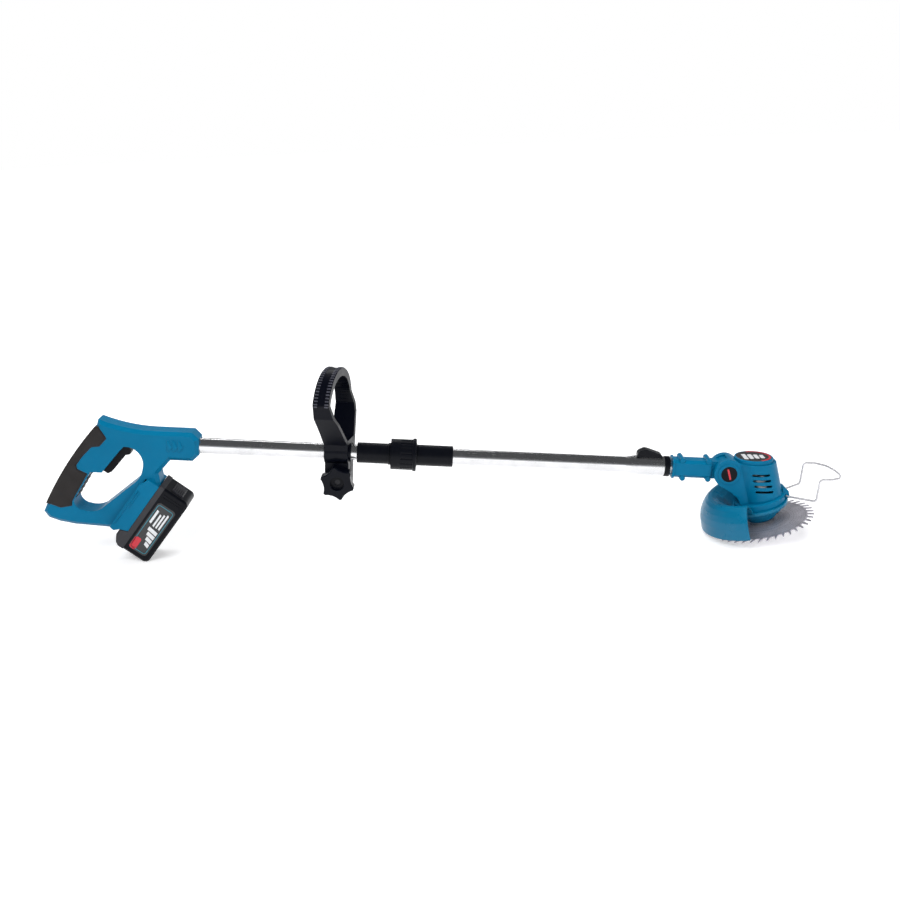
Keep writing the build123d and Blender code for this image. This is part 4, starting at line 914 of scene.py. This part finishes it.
@dataclass
class MotorHead:
    """Prints and small mouldings of the motor head."""

    axes: ToolAxes
    paints: Paints
    pivot: tuple[float, float] = (389.0, -2.0)
    lean: float = 18.0
    cap_face: float = 20.2
    mark: tuple[float, float, float] = (1.3, 8.0, 0.8)          # half width, half length, corner
    cap_centre: tuple[float, float] = (6.0, 92.2)
    cap_slope: float = 15.0
    cap_thickness: float = 5.5
    badge_edge: float = 23.6
    badge_band: float = 20.6
    badge_start: float = -75
    badge_step: float = 10
    badge_steps: int = 18
    badge_bars: int = 4
    badge_bar: tuple[float, float, float, float] = (-16.0, -10.0, -14.0, 10.0)
    badge_pitch: float = 8.0
    badge_loss: float = 1.5
    badge_corner: float = 1.6

    def pivot_marks(self) -> None:
        """Prints a plain red bar on each pivot cap."""
        pivot = self.axes.pole.lifted(self.lean, x=self.pivot[0], z=self.pivot[1])
        work = Workpiece("pivot_marks", pivot)
        half, reach, corner = self.mark
        work.both_sides(rounded_box(-half, half, -reach, reach, corner, 3), self.cap_face, FILM, ROOT)
        work.done(Body.HEAD, self.paints.red, "print")

    def badge(self) -> None:
        """Prints four plain bars inside part of a ring on the cap."""
        cap = self.axes.head.lifted(-self.cap_slope, x=self.cap_centre[0], z=self.cap_centre[1])
        top = self.cap_thickness
        white = Workpiece("badge_white", cap)
        start, end, low, high = self.badge_bar
        for number in range(self.badge_bars):
            shift, loss = self.badge_pitch * number, self.badge_loss * number
            bar = rounded_box(start + shift, end + shift, low + loss, high - loss, self.badge_corner, 3)
            white.layer(bar, top - ROOT, top + CAP_FILM)
        white.done(Body.HEAD, self.paints.white, "print")
        red = Workpiece("badge_red", cap)
        sweep = [math.radians(self.badge_start + self.badge_step * step)
                 for step in range(self.badge_steps + 1)]
        outer = [(self.badge_edge * math.cos(angle), self.badge_edge * math.sin(angle)) for angle in sweep]
        inner = [(self.badge_band * math.cos(angle), self.badge_band * math.sin(angle)) for angle in sweep]
        for number in range(self.badge_steps):
            red.layer([outer[number], outer[number + 1], inner[number + 1], inner[number]],
                      top - ROOT, top + CAP_FILM)
        bmesh.ops.remove_doubles(red.mesh, verts=red.mesh.verts, dist=WELD)
        red.done(Body.HEAD, self.paints.red, "print")

    def build(self) -> None:
        """Builds every detail of the motor head."""
        self.pivot_marks()
        self.badge()


@dataclass
class Finisher:
    """Gives every CAD node its finish."""

    frame: dict
    paints: Paints

    def by_node(self) -> dict[str, bpy.types.Material]:
        """Lists the finish of each CAD node."""
        p = self.paints
        groups = {
            p.teal: ("housing_near", "housing_far", "neck_near", "neck_far", "head_near", "head_far",
                     "head_cap", "collar", "hub_cone"),
            p.guard_teal: ("guard",),
            p.charcoal: ("trigger", "terminal_block", "trigger_switch", "battery_case", "coupling_plug",
                         "coupling_sleeve", "coupling_ring", "coupling_nut", "lower_sleeve",
                         "coupling_socket", "lock_ring", "lock_button", "pivot_caps"),
            p.end_grey: ("battery_lid", "battery_release"),
            p.ebony: ("clamp_bush", "front_handle", "handle_knob"),
            p.rubber: ("rubber_grip",),
            p.tube: ("upper_pole", "lower_pole", "inner_pole"),
            p.wire: ("wire_guard",),
            p.zinc: ("trigger_pin", "trigger_spring", "release_spring", "lock_spring", "pivot_bolt",
                     "motor_can", "spindle_bearings", "motor_shaft", "spindle", "ring_gear",
                     "blade_flanges", "blade_nut"),
            p.dark_steel: ("housing_screws", "neck_screws", "head_screws", "clamp_bolt"),
            p.saw: ("saw_blade",),
            p.brass: ("terminal_blades",),
            p.board: ("battery_board",),
            p.cell: ("battery_cells",),
            p.nylon: ("inner_bush",),
            p.lead: ("switch_lead", "pole_lead", "coiled_lead"),
            p.film: ("battery_label", "head_badge"),
        }
        return {node: material for material, nodes in groups.items() for node in nodes}

    def build(self) -> None:
        """Assigns the finishes."""
        finishes = self.by_node()
        for name, node in self.frame["nodes"].items():
            material = finishes[name]
            if not node.material_slots:
                node.data.materials.append(material)
            for slot in node.material_slots:
                slot.material = material
            log.info("node %s is finished in %s", name, material.name)


# ------------------------------------------------------------------------------------------- studio
@dataclass
class Studio:
    """Pale floor, soft lamps, a plain world and the camera."""

    axes: ToolAxes
    aim: tuple[float, float] = (-0.44, 9.49)
    roll: float = 2.67
    pitch: float = 17.0
    distance: float = 1610.0
    lens: float = 46.0
    target: tuple[float, float, float] = (0.0, 0.0, 0.1)
    floor_radius: float = 14.0
    glow_span: tuple[float, float] = (0.5, 1.6)
    glow_range: tuple[float, float] = (0.42, 1.0)
    sky_span: tuple[float, float] = (0.05, 0.3)
    sky_range: tuple[float, float] = (0.75, 0.1)

    def floor(self) -> None:
        """Lays a wide pale floor that keeps the tool's shadow."""
        mesh = bmesh.new()
        bmesh.ops.create_circle(mesh, cap_ends=True, segments=96, radius=self.floor_radius)
        data = bpy.data.meshes.new("floor")
        mesh.to_mesh(data)
        mesh.free()
        floor = bpy.data.objects.new("floor", data)
        bpy.context.collection.objects.link(floor)
        bench = Bench("floor_paper")
        path = bench.add("LightPath")
        seen = bench.combine("MAXIMUM", path.outputs["Is Camera Ray"], path.outputs["Is Glossy Ray"])
        bench.shade(Base_Color=(0.86, 0.86, 0.87, 1.0), Roughness=0.9, Specular_IOR_Level=0.1,
                    Emission_Color=(1.0, 1.0, 1.0, 1.0))
        reach = bench.add("VectorMath", {0: bench.coords}, operation="LENGTH").outputs["Value"]
        glow = bench.combine("MULTIPLY", seen, bench.ramp(reach, self.glow_span, self.glow_range))
        bench.tree.links.new(glow, bench.shader.inputs["Emission Strength"])
        data.materials.append(bench.material)

    def world(self) -> None:
        """Makes a plain world that looks white and lights softly."""
        world = bpy.data.worlds.new("studio")
        bpy.context.scene.world = world
        world.use_nodes = True
        nodes, links = world.node_tree.nodes, world.node_tree.links
        path = nodes.new("ShaderNodeLightPath")
        light = nodes["Background"]
        light.inputs["Color"].default_value = (0.95, 0.97, 1.0, 1.0)
        # bright round the horizon and dark overhead, so that polished tube shows a dark upper half
        way = nodes.new("ShaderNodeTexCoord").outputs["Generated"]
        height = nodes.new("ShaderNodeSeparateXYZ")
        links.new(way, height.inputs[0])
        fade = nodes.new("ShaderNodeMapRange")
        for name, value in zip(("From Min", "From Max", "To Min", "To Max"),
                               (*self.sky_span, *self.sky_range)):
            fade.inputs[name].default_value = value
        links.new(height.outputs["Z"], fade.inputs["Value"])
        links.new(fade.outputs[0], light.inputs["Strength"])
        white = nodes.new("ShaderNodeBackground")
        white.inputs["Color"].default_value = (1.0, 1.0, 1.0, 1.0)
        mix = nodes.new("ShaderNodeMixShader")
        links.new(path.outputs["Is Camera Ray"], mix.inputs[0])
        links.new(light.outputs[0], mix.inputs[1])
        links.new(white.outputs[0], mix.inputs[2])
        links.new(mix.outputs[0], nodes["World Output"].inputs["Surface"])

    def lamp(self, name: str, place: Vector, size: tuple[float, float], power: float,
             mirrored: bool = False) -> None:
        """Hangs one soft rectangular lamp that faces the tool.

        Args:
            name: The lamp's name.
            place: Where it hangs, in metres.
            size: Its width and height, in metres.
            power: Its power, in watts.
            mirrored: Whether polished metal shows it.
        """
        data = bpy.data.lights.new(name, "AREA")
        data.shape = "RECTANGLE"
        data.size, data.size_y = size
        data.energy = power
        lamp = bpy.data.objects.new(name, data)
        lamp.location = place
        lamp.visible_glossy = mirrored
        lamp.rotation_euler = (Vector(self.target) - place).to_track_quat("-Z", "Y").to_euler()
        bpy.context.collection.objects.link(lamp)

    def camera(self) -> None:
        """Sets the camera square to the tool's near side, looking a little down."""
        view = self.axes.pole.lifted(self.roll, x=self.aim[0], z=self.aim[1])
        pitch = math.radians(self.pitch)
        place = view.at(0, -self.distance * math.cos(pitch), self.distance * math.sin(pitch))
        back = (place - view.origin).normalized()
        right = view.along
        turn = Matrix((right, back.cross(right), back)).transposed().to_4x4()
        data = bpy.data.cameras.new("camera")
        data.lens = self.lens
        data.sensor_width = 36.0
        data.clip_start, data.clip_end = 0.05, 60.0
        camera = bpy.data.objects.new("camera", data)
        camera.matrix_world = Matrix.Translation(place) @ turn
        bpy.context.collection.objects.link(camera)
        bpy.context.scene.camera = camera

    def build(self) -> None:
        """Builds the studio."""
        self.floor()
        self.world()
        self.lamp("key", Vector((-0.9, -1.6, 2.0)), (1.8, 1.2), 42.0)
        self.lamp("fill", Vector((1.6, -1.3, 1.1)), (1.2, 1.2), 18.0)
        self.lamp("top", Vector((0.1, 0.5, 2.3)), (2.4, 1.0), 26.0)
        self.lamp("rim", Vector((-0.5, 1.5, 1.6)), (1.6, 0.3), 7.0, mirrored=True)
        self.camera()
        bpy.context.scene.view_settings.view_transform = "Standard"


def main() -> None:
    """Builds the dressed tool."""
    logging.basicConfig(level=logging.INFO, format="%(message)s")
    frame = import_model()
    axes = ToolAxes.read(frame)
    paints = Paints(axes)
    Finisher(frame, paints).build()
    for assembly in (RearHandle, BatteryPack, LoopHandle, MotorHead):
        assembly(axes, paints).build()
    Studio(axes).build()


if __name__ == "__main__":
    main()
